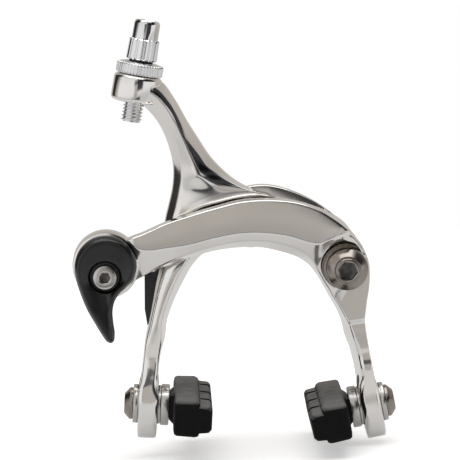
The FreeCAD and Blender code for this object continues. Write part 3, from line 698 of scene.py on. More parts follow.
LIMB = (-17.4, -22.2, -23.8, -22.2, -18.4)
long_sections = [
    ring7((-33.2, 39.6), (-32.2, 40.6), (-30.0, 42.2), (-28.4, 43.4), (-27.0, 43.9),
          (-18.0, -23.0, -24.8, -23.6, -19.0), -13.4),
    ring7((-30.8, 37.6), (-28.8, 38.8), (-26.2, 40.2), (-24.6, 41.4), (-23.4, 42.8),
          (-17.8, -22.9, -24.7, -23.2, -18.8), -12.9),
    ring7((-28.3, 35.4), (-25.4, 36.0), (-22.9, 36.6), (-21.2, 37.2), (-19.8, 37.4),
          (-17.4, -22.6, -24.3, -22.6, -18.5)),
    ring7((-25.9, 32.4), (-22.8, 32.2), (-20.2, 31.6), (-18.5, 31.6), (-16.8, 31.3), LIMB),
    ring7((-24.1, 29.1), (-21.4, 27.6), (-18.2, 26.8), (-16.6, 26.4), (-14.0, 26.2), LIMB),
    ring7((-22.6, 24.8), (-20.3, 23.4), (-16.7, 22.6), (-14.4, 22.3), (-10.9, 20.8), LIMB),
    ring7((-21.6, 20.0), (-19.5, 19.2), (-15.3, 18.6), (-11.9, 18.2), (-7.6, 16.6), LIMB),
    ring7((-21.5, 16.0), (-19.2, 15.3), (-14.6, 15.0), (-7.6, 15.0), (-3.6, 12.8), LIMB),
    ring7((-22.1, 11.6), (-19.8, 11.2), (-14.0, 11.4), (-1.2, 11.0), (1.6, 9.6),
          (-17.4, -21.8, -23.0, -23.0, -18.6)),
    ring7((-23.2, 7.6), (-20.8, 7.4), (-14.0, 7.6), (6.0, 8.6), (8.4, 6.6),
          (-17.4, -21.8, -22.6, -23.0, -18.8)),
    ring7((-24.2, 4.4), (-21.8, 4.4), (-12.0, 3.6), (12.6, 5.0), (14.6, 3.0),
          (-17.4, -22.0, -22.2, -22.6, -19.0)),
    ring7((-24.8, 2.0), (-22.2, 2.0), (-12.0, 0.0), (20.0, -2.6), (21.9, -3.6),
          (-17.4, -22.0, -22.0, -22.0, -20.0)),
    ring7((-25.2, 0.2), (-22.6, 0.0), (-12.6, -2.4), (18.6, -5.2), (20.4, -6.0),
          (-17.4, -22.0, -22.0, -22.0, -20.0)),
    ring7((-25.5, -1.4), (-22.8, -1.6), (-14.0, -4.0), (2.0, -5.0), (2.4, -6.0),
          (-17.4, -22.0, -22.4, -22.4, -20.0)),
    ring7((-25.8, -3.4), (-23.0, -3.6), (-16.6, -5.4), (-8.6, -4.8), (-8.4, -5.6),
          (-17.4, -22.0, -23.0, -23.0, -19.6)),
    ring7((-26.1, -6.2), (-23.8, -6.2), (-19.6, -7.2), (-17.4, -7.6), (-14.2, -8.0),
          (-17.8, -22.4, -23.4, -23.6, -18.6)),
    ring7((-26.8, -9.6), (-25.2, -9.8), (-22.6, -10.4), (-20.2, -10.8), (-17.0, -10.6),
          (-19.0, -23.2, -23.9, -24.0, -17.6)),
    ring7((-28.4, -15.2), (-27.4, -15.6), (-25.2, -16.0), (-23.6, -16.6), (-20.8, -16.4),
          (-20.0, -24.0, -24.4, -24.3, -17.0)),
    ring7((-29.8, -21.2), (-29.2, -21.4), (-27.4, -21.8), (-26.0, -22.2), (-23.8, -22.0),
          (-21.0, -24.4, -24.7, -24.6, -16.8)),
    ring7((-31.2, -27.0), (-30.8, -27.2), (-29.0, -27.2), (-27.5, -27.2), (-25.9, -27.2),
          (-22.0, -24.6, -24.85, -24.7, -17.0)),
    ring7((-32.6, -32.4), (-32.2, -32.4), (-30.4, -32.4), (-27.8, -32.2), (-26.8, -32.0),
          (-22.8, -24.4, -24.6, -24.5, -18.0), -12.2),
    ring7((-33.6, -38.3), (-33.2, -38.3), (-31.0, -38.0), (-28.9, -37.8), (-28.5, -37.4),
          (-22.9, -24.1, -24.25, -24.15, -20.0), -12.0),
    ring7((-34.4, -42.6), (-34.0, -42.6), (-31.8, -42.6), (-29.7, -42.6), (-29.3, -42.6),
          (-23.4, -24.7, -24.85, -24.75, -21.5), -11.8),
]
long_radii = [[1.2, 1.2, 1.4, 1.6, 1.2, 1.2, 1.2]] * 2 + [[1.2, 1.0, 0.9, 1.2, 0.7, 0.9, 1.2]] * 6
long_radii += [[1.2, 1.0, 1.2, 4.0, 0.7, 0.9, 1.2]] * 4 + [[1.2, 1.0, 1.2, 2.0, 1.0, 1.0, 1.2]] * 3
long_radii += [[1.2, 0.9, 0.9, 3.0, 0.7, 1.0, 1.2]] * 5 + [[1.2, 1.3, 1.3, 1.6, 1.3, 1.3, 1.2]] * 3


def leg_tip7(leg):
    """The same rounded tip as the other leg's, given the long arm's two extra corners."""
    sections, radii = leg_tip(leg)
    out, out_radii = [], []
    for (a, b, c, d, e), (ra, rb, rc, rd, re) in zip(sections, radii):
        near_b = tuple(np.array(b) * 0.75 + np.array(c) * 0.25)
        near_d = tuple(np.array(d) * 0.75 + np.array(c) * 0.25)
        b_back = (b[0], b[1] + 0.5 * min(1.5, a[1] - b[1]), b[2])
        d_back = (d[0], d[1] + 0.5 * min(1.5, e[1] - d[1]), d[2])
        out.append([a, b_back, near_b, c, near_d, d_back, e])
        out_radii.append([ra, rb, rb, rc, rd, rd, re])
    return out, out_radii


tip_sections, tip_radii = leg_tip7(LEFT)
climb = BLADE_TOP - (LEG_END + (BLADE_REAR - BLADE_FRONT) / 2)
upper = [tuple(np.array(p) + np.array(tuple(LEFT.v)) * climb) for p in tip_sections[0]]
long_sections += [upper] + tip_sections
long_radii += [tip_radii[0]] + tip_radii
print("long arm:", len(long_sections), "sections")


# %% [markdown]
# ## The eye and the pivot hub
# The cable runs straight from the anchor bolt through the eye, so that line places the eye, the barrel
# and the ring. The eye and the hub are turned, then joined to the limb and cut like the short arm.

# %% The cable's line, the eye and the pivot hub
tilt = math.radians(13.0)
CABLE = Vector((math.sin(tilt), 0, math.cos(tilt)))
CABLE_START = Vector((ANCHOR[0], CABLE_Y, ANCHOR[1]))
EYE = [(0, 50.0), (5.6, 50.0), (6.4, 50.2), (6.85, 50.7), (7.0, 51.4), (7.0, 56.9), (6.8, 57.5), (6.3, 57.9),
       (5.6, 58.0), (0, 58.0)]
eye = lathe(EYE, CABLE_START, CABLE, 128)
HUB_DRUM = [(0, -23.0), (6.1, -23.0), (6.6, -22.5), (6.6, -11.9), (6.2, -11.5), (0, -11.5)]
hub = lathe(HUB_DRUM, (0, 0, 0), (0, 1, 0))
limb = skin(loft(long_sections, long_radii, (8, 8, 8, 10, 8, 6, 10), step=0.42))
long_arm = joined("long_arm_polished", [limb, eye, hub])
HUB_RECESS = [(0, -40), (8.2, -40), (8.2, -21.0), (0, -21.0)]
cut_away(long_arm, mesh_piece("cutter", *lathe(HUB_RECESS, (0, 0, 0), (0, 1, 0))), overlapping=True)
cut_away(long_arm, slot_cutter(LEFT))
print("long arm:", len(long_arm.data.polygons), "faces")


# %% [markdown]
# ## The arms take their places
# Both arms are finished, so each gets its finish, the body it rides on and the imported node that it
# replaces.

# %% Finish the arms and hide the nodes they replace
dress(short_arm, "short_arm", "polished_alloy", "short_arm")
dress(long_arm, "long_arm", "polished_alloy", "long_arm")

# %% [markdown]
# ## The quick-release lever
# The lever is a shallow cone with a hooked thumb piece. The cone sinks towards the anchor bolt, which
# sits off the lever's own axis. Here the front is made as rings that shrink from the outline to the
# bolt's recess, so the dish and the hook are one smooth surface.

# %% Lever
LEVER_TOP = [(-33.6, -8.9), (-33.9, -5.8), (-35.6, -2.5), (-38.6, -0.2), (-42.6, 0.65), (-46.8, -0.4),
             (-50.0, -3.4)]
LEVER_HOOK = [(-51.4, -7.4), (-51.2, -11.5), (-50.2, -15.6), (-48.5, -20.6), (-46.4, -24.8), (-44.6, -28.2),
              (-43.4, -30.0), (-42.4, -30.5), (-41.6, -30.1), (-41.1, -28.2), (-41.3, -24.6), (-41.3, -21.3),
              (-40.7, -18.8), (-39.2, -16.5), (-36.9, -14.5), (-34.9, -12.3)]


def closed_curve(points, count):
    """Evenly spaced points on a smooth closed curve through given points."""
    loop = np.array(list(points) * 3, float)
    places = np.concatenate([[0], np.cumsum(np.linalg.norm(np.diff(loop, axis=0), axis=1))])
    n = len(points)
    wanted = np.linspace(places[n], places[2 * n], count, endpoint=False)
    return smooth_through(loop, places, wanted)


rim = closed_curve(LEVER_TOP + LEVER_HOOK, 220)
normals = np.roll(rim, -1, axis=0) - np.roll(rim, 1, axis=0)
normals = np.stack([-normals[:, 1], normals[:, 0]], axis=1)
normals /= np.linalg.norm(normals, axis=1)[:, None]
# The normals have to point into the lever, whichever way round the outline runs.
if ((rim + normals - rim.mean(axis=0)) ** 2).sum() > ((rim - normals - rim.mean(axis=0)) ** 2).sum():
    normals = -normals


def lever_ring(inset, y):
    """The lever's outline moved inwards, at one depth."""
    flat = rim + normals * inset
    return [(x, y, z) for x, z in flat]


shoulder = rim + normals * 1.35
bearing = np.arctan2(shoulder[:, 1] - ANCHOR[1], shoulder[:, 0] - ANCHOR[0])


def mouth_ring(radius, y):
    """A circle round the anchor bolt, one point for each point of the outline."""
    return [(ANCHOR[0] + radius * math.cos(a), y, ANCHOR[1] + radius * math.sin(a)) for a in bearing]


def dish_ring(share, y):
    """A ring between the lever's shoulder and the recess round the anchor bolt."""
    mouth = np.array(mouth_ring(5.0, y))[:, [0, 2]]
    flat = shoulder * (1 - share) + mouth * share
    return [(x, y, z) for x, z in flat]


BOLT_HOLE = 2.56
EDGE = [(2.4, -31.3), (0.5, -31.3), (0.12, -31.45), (0.0, -31.8), (0.0, -33.4), (0.1, -34.0), (0.32, -34.5),
        (0.62, -35.25), (0.95, -35.75), (1.2, -35.9)]
DISH = [(0.0, -35.93), (0.2, -35.72), (0.4, -35.5), (0.6, -35.28), (0.8, -35.06), (0.96, -34.88)]
RECESS = [(4.95, -34.8), (4.75, -34.68), (4.6, -34.4), (4.3, -33.6), (4.2, -33.3), (4.2, -32.6),
          (BOLT_HOLE, -32.6), (BOLT_HOLE, -31.3)]
lever_rings = [mouth_ring(BOLT_HOLE, -31.3)] + [lever_ring(*step) for step in EDGE]
lever_rings += [dish_ring(*step) for step in DISH] + [mouth_ring(*step) for step in RECESS]
lever_shell = skin(lever_rings, closed_ends=False)
HUB = [(6.0, -31.35), (6.4, -31.35), (6.4, -20.7), (6.0, -20.6), (BOLT_HOLE, -20.6), (BOLT_HOLE, -31.35),
       (6.0, -31.35)]


def offset_drum(profile):
    """A turned shape round the lever's axis whose hole lies on the anchor's axis instead."""
    rings = []
    for radius, y in profile:
        centre = ANCHOR if radius == BOLT_HOLE else LEVER
        rings.append([(centre[0] + radius * math.cos(2 * math.pi * i / 96), y,
                       centre[1] + radius * math.sin(2 * math.pi * i / 96)) for i in range(96)])
    return skin(rings, closed_ends=False)


lever = joined("quick_release_lever_dished", [lever_shell, offset_drum(HUB)])
dress(lever, "quick_release", "black_alloy", "quick_release_lever")

# %% [markdown]
# ## The pads
# Each pad is one piece of rubber: a wide carrier against the washer, a narrower block that meets the rim,
# and three drainage slots across its face. It could be a box with a Boolean for each slot. One section
# swept along the pad is simpler: the ends draw in a little, and inside a slot the section stops short.

# %% Pad sections
PAD_SECTION = [(6.2, 3.4), (7.4, 4.6), (8.3, 5.1), (13.6, 5.25), (14.6, 4.7), (14.9, 3.95), (17.6, 3.75),
               (18.5, 2.9),
               (18.5, -2.9), (17.6, -3.9), (14.9, -4.2), (14.7, -5.0), (13.6, -5.35), (8.3, -5.1),
               (7.4, -4.6),
               (6.2, -3.4)]


PAD_SLOTS = (-10.5, 3.0, 16.5)                 # middles of the drainage slots, along the pad
SLOT_DEEP, SLOT_HALF = 15.2, 1.1
PAD_MIDDLE = 11.5                              # the ends draw in towards this distance from the leg
PAD_HALF = 24.5                                # half the pad's length


def pad_piece(name, leg):
    """The rubber block, swept along its length with its ends drawn in and slots across its face."""
    half = PAD_HALF
    stops = [-half, -half + 0.2, -half + 0.6, -half + 1.2, half - 1.2, half - 0.6, half - 0.2, half]
    stops += list(np.arange(-half + 2.2, half - 2.0, 1.1))
    for slot in PAD_SLOTS:
        stops = [s for s in stops if abs(s - slot) > SLOT_HALF + 0.3]
        stops += [slot - SLOT_HALF - 0.12, slot - SLOT_HALF, slot, slot + SLOT_HALF, slot + SLOT_HALF + 0.12]
    rings = []
    for s in sorted(stops):
        from_end = half - abs(s)
        draw = 1.0 - 0.16 * max(0.0, 1 - from_end / 1.2) ** 2
        in_slot = any(abs(s - slot) <= SLOT_HALF + 1e-6 for slot in PAD_SLOTS)
        ring = []
        for u, v in PAD_SECTION:
            if u < 7.5 and abs(s) > 6.5:
                u = 7.4 + (u - 6.2) * 0.2
            if in_slot:
                u = min(u, SLOT_DEEP)
            drawn = PAD_MIDDLE + (u - PAD_MIDDLE) * draw if u < 18 else u - 2.0 * (1 - draw)
            ring.append(leg.at(drawn, v * draw, CABLE_Y + s))
        rings.append(rounded_ring(list(np.array(ring)), [0.25] * len(ring), (3,) * len(ring), 3))
    return mesh_piece(name, *skin(rings), smooth_angle=32)


for side, leg in (("left", LEFT), ("right", RIGHT)):
    pad = pad_piece(side + "_pad_rubber", leg)
    dress(pad, side + "_pad", "pad_rubber", side + "_pad_block")

# %% [markdown]
# ## Knurls, flutes and threads with Geometry Nodes
# A knurled ring, a fluted grip and a thread are one small shape repeated round an axis or along it. Each
# could be one rib copied round a circle, but its neighbours have to meet without a seam. So a node tree
# takes named sizes, bends a fine grid round the axis and moves its points out or in. The result is turned
# into a plain mesh, so that nothing depends on the modifier later.

# %% Tree helpers
def new_tree(name, inputs):
    """A Geometry Nodes group with named inputs; gives the tree, its ends and the inputs' identifiers."""
    tree = bpy.data.node_groups.new(name, "GeometryNodeTree")
    ids = {}
    for label, kind, value in inputs:
        socket = tree.interface.new_socket(label, in_out="INPUT", socket_type=kind)
        if value is not None:
            socket.default_value = value
        ids[label] = socket.identifier
    tree.interface.new_socket("Geometry", in_out="OUTPUT", socket_type="NodeSocketGeometry")
    start = tree.nodes.new("NodeGroupInput")
    result = tree.nodes.new("NodeGroupOutput")
    return tree, start, result, ids


def node(tree, kind, links=(), **settings):
    """Adds a node, sets its properties, and links or fills its inputs."""
    made = tree.nodes.new(kind)
    for key, value in settings.items():
        setattr(made, key, value)
    for socket, source in dict(links).items():
        if hasattr(source, "is_output"):
            tree.links.new(source, made.inputs[socket])
        else:
            made.inputs[socket].default_value = source
    return made


def maths(tree, operation, a, b=0.0):
    return node(tree, "ShaderNodeMath", {0: a, 1: b}, operation=operation).outputs[0]


def wrap_round(tree, result, material, grid, place):
    """Ends a tree: bends a flat grid round the Z axis, closes the seam and sets the material."""
    turn, radius, height = place
    angle = maths(tree, "MULTIPLY", turn, 2 * math.pi)
    spot = node(tree, "ShaderNodeCombineXYZ", {
        0: maths(tree, "MULTIPLY", radius, maths(tree, "COSINE", angle)),
        1: maths(tree, "MULTIPLY", radius, maths(tree, "SINE", angle)), 2: height})
    bent = node(tree, "GeometryNodeSetPosition", {"Geometry": grid.outputs["Mesh"],
                                                  "Position": spot.outputs[0]})
    shut = node(tree, "GeometryNodeMergeByDistance", {"Geometry": bent.outputs[0], "Distance": SAME_POINT})
    real = node(tree, "GeometryNodeRealizeInstances", {"Geometry": shut.outputs[0]})
    dressed = node(tree, "GeometryNodeSetMaterial", {"Geometry": real.outputs[0], "Material": material})
    tree.links.new(dressed.outputs[0], result.inputs[0])


def grow(tree, ids, values, name):
    """Runs a tree on a single point and gives the plain mesh object that comes out."""
    seed = bpy.data.meshes.new("seed")
    seed.from_pydata([(0, 0, 0)], [], [])
    holder = placed("holder", seed)
    change = holder.modifiers.new("grow", "NODES")
    change.node_group = tree
    for label, value in values.items():
        change[ids[label]] = value
    mesh = evaluated_mesh(holder)
    mesh.name = name
    holder.modifiers.remove(change)
    bpy.data.objects.remove(holder)
    return placed(name, mesh)


def place_mesh(piece, origin, axis):
    """Turns a mesh made along +Z onto an axis and moves it to its place, in millimetres."""
    turn = Vector((0, 0, 1)).rotation_difference(Vector(axis)).to_matrix().to_4x4()
    piece.data.transform(Matrix.Translation(Vector(origin) * MM) @ turn)
    return piece


def merged(name, pieces):
    """Joins objects into one and takes the single ones away."""
    whole = one_mesh(name, [piece.data for piece in pieces])
    for piece in pieces:
        bpy.data.objects.remove(piece)
    return whole


# %% [markdown]
# ## A ribbed drum
# The grip's flutes and the ring's knurl are the same thing at two sizes. A flat grid is wrapped round the
# axis and a cosine presses the valleys in, so the number of ribs and their depth are just inputs.

# %% A ribbed drum: teeth pressed into the side of a tube
def ribbed_drum_tree():
    """A hollow drum whose outer wall has ribs, round or sharp; made by moving the points of a fine grid."""
    tree, start, result, ids = new_tree("ribbed drum", [
        ("Ribs", "NodeSocketInt", 24), ("Outer radius", "NodeSocketFloat", 0.0045),
        ("Top radius", "NodeSocketFloat", 0.0043), ("Rib depth", "NodeSocketFloat", 0.0003),
        ("Flat share", "NodeSocketFloat", 0.5), ("Length", "NodeSocketFloat", 0.006),
        ("Edge", "NodeSocketFloat", 0.0003), ("Material", "NodeSocketMaterial", None)])
    i = {k: start.outputs[k] for k in ids}
    around = maths(tree, "MULTIPLY", i["Ribs"], 12.0)
    grid = node(tree, "GeometryNodeMeshGrid", {"Size X": 1.0, "Size Y": 1.0, "Vertices Y": 19,
                                               "Vertices X": maths(tree, "ADD", around, 1.0)})
    spot = node(tree, "ShaderNodeSeparateXYZ", {0: node(tree, "GeometryNodeInputPosition").outputs[0]})
    turn = maths(tree, "ADD", spot.outputs[0], 0.5)
    rise = maths(tree, "ADD", spot.outputs[1], 0.5)
    phase = maths(tree, "MULTIPLY", turn, maths(tree, "MULTIPLY", i["Ribs"], 2 * math.pi))
    wave = maths(tree, "COSINE", phase)
    crest = node(tree, "ShaderNodeMapRange", {"Value": wave, "From Min": -1.0,
                                              "From Max": maths(tree, "SUBTRACT", 1.0, i["Flat share"])},
                 interpolation_type="SMOOTHSTEP")
    height = maths(tree, "MULTIPLY", rise, i["Length"])
    from_end = maths(tree, "MINIMUM", height, maths(tree, "SUBTRACT", i["Length"], height))
    rounded = node(tree, "ShaderNodeMapRange", {"Value": from_end, "From Min": 0.0, "From Max": i["Edge"],
                                                "To Min": 1.0, "To Max": 0.0})
    squared = maths(tree, "MULTIPLY", rounded.outputs[0], rounded.outputs[0])
    drop = maths(tree, "MULTIPLY", squared, i["Edge"])
    taper = node(tree, "ShaderNodeMapRange", {"Value": rise, "To Min": i["Outer radius"],
                                              "To Max": i["Top radius"]})
    valley = maths(tree, "MULTIPLY", maths(tree, "SUBTRACT", 1.0, crest.outputs[0]), i["Rib depth"])
    radius = maths(tree, "SUBTRACT", maths(tree, "SUBTRACT", taper.outputs[0], valley), drop)
    wrap_round(tree, result, i["Material"], grid, (turn, radius, height))
    return tree, ids


drum_tree, drum_ids = ribbed_drum_tree()


def ribbed_drum(name, along, **sizes):
    """A ribbed wall on the cable's axis, from a height along it in millimetres."""
    wall = grow(drum_tree, drum_ids, {**sizes, "Material": FINISHES["barrel_chrome"]}, name)
    return place_mesh(wall, CABLE_START + CABLE * along, CABLE)


# %% [markdown]
# ## A thread
# A screw thread is a triangular wave that climbs one pitch in each turn. The same wrapped grid makes it:
# the wave depends on height less turn, and the ends fade to the core.

# %% A thread: a tooth swept round and along
def thread_tree():
    """A screw thread as one closed skin: a grid wrapped round the axis, pushed out by a triangular wave."""
    tree, start, result, ids = new_tree("screw thread", [
        ("Radius", "NodeSocketFloat", 0.003), ("Depth", "NodeSocketFloat", 0.00055),
        ("Pitch", "NodeSocketFloat", 0.001), ("Length", "NodeSocketFloat", 0.006),
        ("Rows", "NodeSocketInt", 60), ("Material", "NodeSocketMaterial", None)])
    i = {k: start.outputs[k] for k in ids}
    grid = node(tree, "GeometryNodeMeshGrid", {"Size X": 1.0, "Size Y": 1.0, "Vertices X": 49,
                                               "Vertices Y": i["Rows"]})
    spot = node(tree, "ShaderNodeSeparateXYZ", {0: node(tree, "GeometryNodeInputPosition").outputs[0]})
    turn = maths(tree, "ADD", spot.outputs[0], 0.5)
    rise = maths(tree, "ADD", spot.outputs[1], 0.5)
    height = maths(tree, "MULTIPLY", rise, i["Length"])
    turns_up = maths(tree, "DIVIDE", height, i["Pitch"])
    tooth = maths(tree, "PINGPONG", maths(tree, "SUBTRACT", turns_up, turn), 0.5)
    crest = node(tree, "ShaderNodeMapRange", {"Value": tooth, "From Min": 0.06, "From Max": 0.42})
    end = maths(tree, "MINIMUM", height, maths(tree, "SUBTRACT", i["Length"], height))
    fade = node(tree, "ShaderNodeMapRange", {"Value": end, "From Min": 0.0, "From Max": 0.0005,
                                             "To Min": 0.00055, "To Max": 0.0})
    groove = maths(tree, "MAXIMUM", maths(tree, "MULTIPLY", crest.outputs[0], i["Depth"]), fade.outputs[0])
    radius = maths(tree, "SUBTRACT", i["Radius"], groove)
    wrap_round(tree, result, i["Material"], grid, (turn, radius, height))
    return tree, ids


screw_tree, screw_ids = thread_tree()


def thread(name, origin, axis, length, slot, radius=3.0, depth=0.55, pitch=1.0):
    """An M6 thread as an open wall of the given length in millimetres, starting at origin."""
    rows = int(length / pitch * 12) + 1
    sizes = {"Radius": radius * MM, "Depth": depth * MM, "Pitch": pitch * MM, "Length": length * MM}
    wall = grow(screw_tree, screw_ids, {**sizes, "Rows": rows, "Material": FINISHES[slot]}, name)
    return place_mesh(wall, origin, axis)


def closed(piece):
    """Fills a wall's open ends, so the mesh is a solid."""
    work = bmesh.new()
    work.from_mesh(piece.data)
    bmesh.ops.remove_doubles(work, verts=work.verts, dist=1e-7)
    bmesh.ops.holes_fill(work, edges=[e for e in work.edges if e.is_boundary], sides=0)
    bmesh.ops.recalc_face_normals(work, faces=work.faces)
    work.to_mesh(piece.data)
    work.free()
    return piece


# %% [markdown]
# ## The barrel and its lock ring
# The barrel is a threaded stub, a fluted grip and a top with six soft flats. The lock ring is a knurled
# wall round a turned core. Walls come from the trees and are closed before they are joined.

# %% The cable barrel
def barrel_top():
    """Rings from the grip's shoulder up to the mouth and down into the socket."""
    rows = []
    for radius, height, flat in ((3.3, 68.4, 0), (3.72, 68.6, 0.05), (3.78, 68.9, 0.16), (3.76, 73.0, 0.16),
                                 (3.6, 73.6, 0.12), (3.25, 74.0, 0.03), (2.85, 74.0, 0), (2.6, 73.75, 0),
                                 (2.6, 66.0, 0), (1.1, 65.9, 0), (1.1, 60.0, 0)):
        ring = []
        for k in range(144):
            a = 2 * math.pi * k / 144
            r = radius - flat * (0.5 - 0.5 * math.cos(6 * a)) ** 0.6
            out = Vector((CABLE.z, 0, -CABLE.x)) * (r * math.cos(a)) + Vector((0, r * math.sin(a), 0))
            ring.append(tuple(CABLE_START + CABLE * height + out))
        rows.append(ring)
    return mesh_piece("top", *skin(rows))


grip = closed(ribbed_drum("grip", 62.45, **{"Ribs": 14, "Outer radius": 4.55 * MM, "Top radius": 4.35 * MM,
                                            "Rib depth": 0.42 * MM, "Flat share": 1.2, "Length": 6.15 * MM,
                                            "Edge": 0.35 * MM}))
stub = closed(thread("stub", CABLE_START + CABLE * 44.3, CABLE, 18.2, "barrel_chrome"))
barrel = merged("barrel_fluted", [grip, barrel_top(), stub])
dress(barrel, "barrel", "barrel_chrome", "barrel_adjuster")

knurl = ribbed_drum("knurl", 58.15, **{"Ribs": 44, "Outer radius": 6.8 * MM, "Top radius": 6.8 * MM,
                                       "Rib depth": 0.34 * MM, "Flat share": 0.7, "Length": 3.3 * MM,
                                       "Edge": 0.5 * MM})
CORE = [(3.05, 58.12), (6.1, 58.12), (6.32, 58.3), (6.32, 61.35), (6.1, 61.5), (5.0, 61.75), (4.6, 61.9),
        (3.05, 61.9), (3.05, 58.12)]
cap = mesh_piece("cap", *lathe(CORE, CABLE_START, CABLE))
lock_ring = merged("lock_ring_knurled", [closed(knurl), cap])
dress(lock_ring, "lock_ring", "barrel_chrome", "adjuster_lock_ring")

# %% [markdown]
# ## The threaded stud
# The mounting bolt ends in a rolled M6 thread. The tree that makes the barrel's thread makes this one
# too, with another length, and a turned head and shank are joined to it.

# %% Thread on the mounting stud
BOLT = [(0, -24.4), (4.7, -24.4), (5.3, -24.15), (5.6, -23.6), (5.6, -21.6), (3.2, -21.6), (3.2, 0.0),
        (3.0, 0.0),
        (3.0, 7.1), (0, 7.1)]
bolt_body = mesh_piece("bolt_body", *lathe(BOLT, (0, 0, 0), (0, 1, 0)))
stud = closed(thread("stud_thread", (0, 7.0, 0), (0, 1, 0), 18.4, "zinc_steel"))
bolt = merged("mounting_bolt_threaded", [bolt_body, stud])
dress(bolt, "mount", "zinc_steel", "mounting_bolt")

# %% [markdown]
# ## Screws with hexagon sockets
# The imported bolts are right in size, but a socket needs a crisp hexagon with a chamfered mouth and a floor
# that lies in shade. One maker turns a head from its profile, then lets the round mouth pass into a hexagon.
# The inside gets a darker finish of its own, which is painted shade for the hollow.

# %% Socket heads
# The socket finish is painted shade: a darker colour that stands in for the shadow inside the hexagon.
FINISHES["socket"] = finish("painted socket shade", (0.13, 0.12, 0.115), (0.07, 0.065, 0.06), 1.0, 0.3, 0.45, 1.5,
                            0.15, (1, 1, 1), 0.3, 0.01)


def socket_head(name, origin, axis, profile, flats, depth, turn=0.0, shank=()):
    """A turned head whose mouth, the last profile point, becomes a hexagonal hole along the axis."""
    axis = Vector(axis).normalized()
    side = (Vector((0, 0, 1)) if abs(axis.z) < 0.7 else Vector((1, 0, 0)))
    side = (side - axis * side.dot(axis)).normalized()
    other = axis.cross(side)
    origin = Vector(origin)

    def ring(radius, along, hexed=0.0):
        out = []
        for k in range(120):
            a = 2 * math.pi * k / 120
            near = (math.degrees(a) - turn + 30) % 60 - 30
            to_flat = flats / 2 / math.cos(math.radians(near))
            r = radius * (1 - hexed) + min(to_flat, flats / math.sqrt(3)) * hexed
            out.append(tuple(origin + axis * along + (side * math.cos(a) + other * math.sin(a)) * r))
        return out

    top = profile[-1][1]
    rings = [ring(r, y) for r, y in list(shank) + list(profile)]
    rings += [ring(0, top + sunk, 1.0) for sunk in (0.04, 0.3, depth)]
    rings.append(ring(flats * 0.3, top + depth + 0.25))
    head = mesh_piece(name, *skin(rings), smooth_angle=30)
    return head, top, axis, origin, flats


def dress_socket(made, body, slot, node_name):
    """Finish the head, then give the faces inside the socket a darker finish: painted shade for the hollow.
    """
    head, top, axis, origin, flats = made
    dress(head, body, slot, node_name)
    head.data.materials.append(FINISHES["socket"])
    # Faces deep in the socket get the second material, the painted shade.
    for face in head.data.polygons:
        middle = Vector(face.center) / MM - origin
        along = middle.dot(axis)
        out = (middle - axis * along).length
        if out < flats * 0.56 and along > top + 0.1:
            face.material_index = 1


side_bolt = socket_head("side_pivot_bolt_socketed", (SIDE[0], 0, SIDE[1]), (0, 1, 0),
                        [(3.6, -30.6), (3.6, -34.7), (3.42, -34.94), (3.2, -35.0), (3.0, -35.0),
                         (2.86, -34.9)],
                        5.0, 2.9, turn=12, shank=[(3.0, -6.1), (3.0, -30.6)])
dress_socket(side_bolt, "mount", "bolt_steel", "side_pivot_bolt")
anchor_bolt = socket_head("cable_anchor_bolt_socketed", (ANCHOR[0], 0, ANCHOR[1]), (0, 1, 0),
                          [(3.45, -32.6), (3.45, -35.3), (3.3, -35.52), (3.1, -35.6), (1.95, -35.6),
                           (1.8, -35.5)],
                          3.0, 1.9, turn=5, shank=[(2.5, -12.6), (2.5, -32.6)])
dress_socket(anchor_bolt, "quick_release", "zinc_steel", "cable_anchor_bolt")
for side, leg in (("left", LEFT), ("right", RIGHT)):
    nut = socket_head(side + "_pad_nut_socketed", leg.at(0, 0), leg.u,
                      [(3.1, -4.42), (4.5, -4.42), (4.7, -4.55), (4.7, -5.25), (4.62, -5.4), (4.4, -5.62),
                       (3.2, -6.72), (2.95, -6.92), (2.75, -6.98), (2.45, -6.98)], 4.0, 1.9, turn=30)
    dress_socket(nut, side + "_pad_clamp", "zinc_steel", side + "_pad_nut")
    nut[0].data.materials[0] = FINISHES["bolt_steel"]

# %% [markdown]
# ## The return spring
# One steel wire lies over the bracket's boss and its two ends push the arms apart. When the arms close, each
# end bends with its arm. So the wire is drawn as two halves that meet on top of the boss, and each half runs
# from its arm to the top of the boss; neither half is tied to a body, so neither follows its arm.

# %% Spring wire
WIRE_Y, WIRE_R = -5.4, 1.1
HALF_ROUTES = {
    "left": [(-29.4, -27.0), (-28.0, -16.5), (-26.9, -10.3), (-25.4, -7.9), (-16.0, -2.7), (-8.9, 1.5),
             (-7.6, 3.4),
             (-5.6, 6.6), (-3.2, 7.6), (0.0, 7.9)],
    "right": [(28.4, -30.6), (21.0, -17.6), (17.8, -12.0), (15.6, -9.0), (8.9, 0.3), (8.0, 1.9), (5.8, 5.9),
              (3.2, 7.6), (0.0, 7.9)],
}


def wire_half(name, route):
    """A round wire along a smooth line through the route's points."""
    flat = np.array(route, float)
    places = np.concatenate([[0], np.cumsum(np.linalg.norm(np.diff(flat, axis=0), axis=1))])
    line = smooth_through(flat, places, np.linspace(0, places[-1], 110))
    rings = []
    for k, (x, z) in enumerate(line):
        ahead = line[min(k + 1, len(line) - 1)] - line[max(k - 1, 0)]
        across = Vector((-ahead[1], 0, ahead[0])).normalized()
        rings.append([tuple(Vector((x, WIRE_Y, z)) + across * (WIRE_R * math.cos(2 * math.pi * j / 24))
                            + Vector((0, WIRE_R * math.sin(2 * math.pi * j / 24), 0))) for j in range(24)])
    return mesh_piece(name, *skin(rings))


for side, start, end in (("left", (-0.004, -0.0054, 0.0075), (-0.0272, -0.0054, -0.014)),
                         ("right", (0.006, -0.0054, 0.0055), (0.0225, -0.0054, -0.022))):
    half = wire_half(side + "_spring_half", HALF_ROUTES[side])
    half.data.materials.append(FINISHES["spring_steel"])
    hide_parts("return_spring")
    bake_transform(half)
    print(half.name, len(half.data.polygons), "faces")

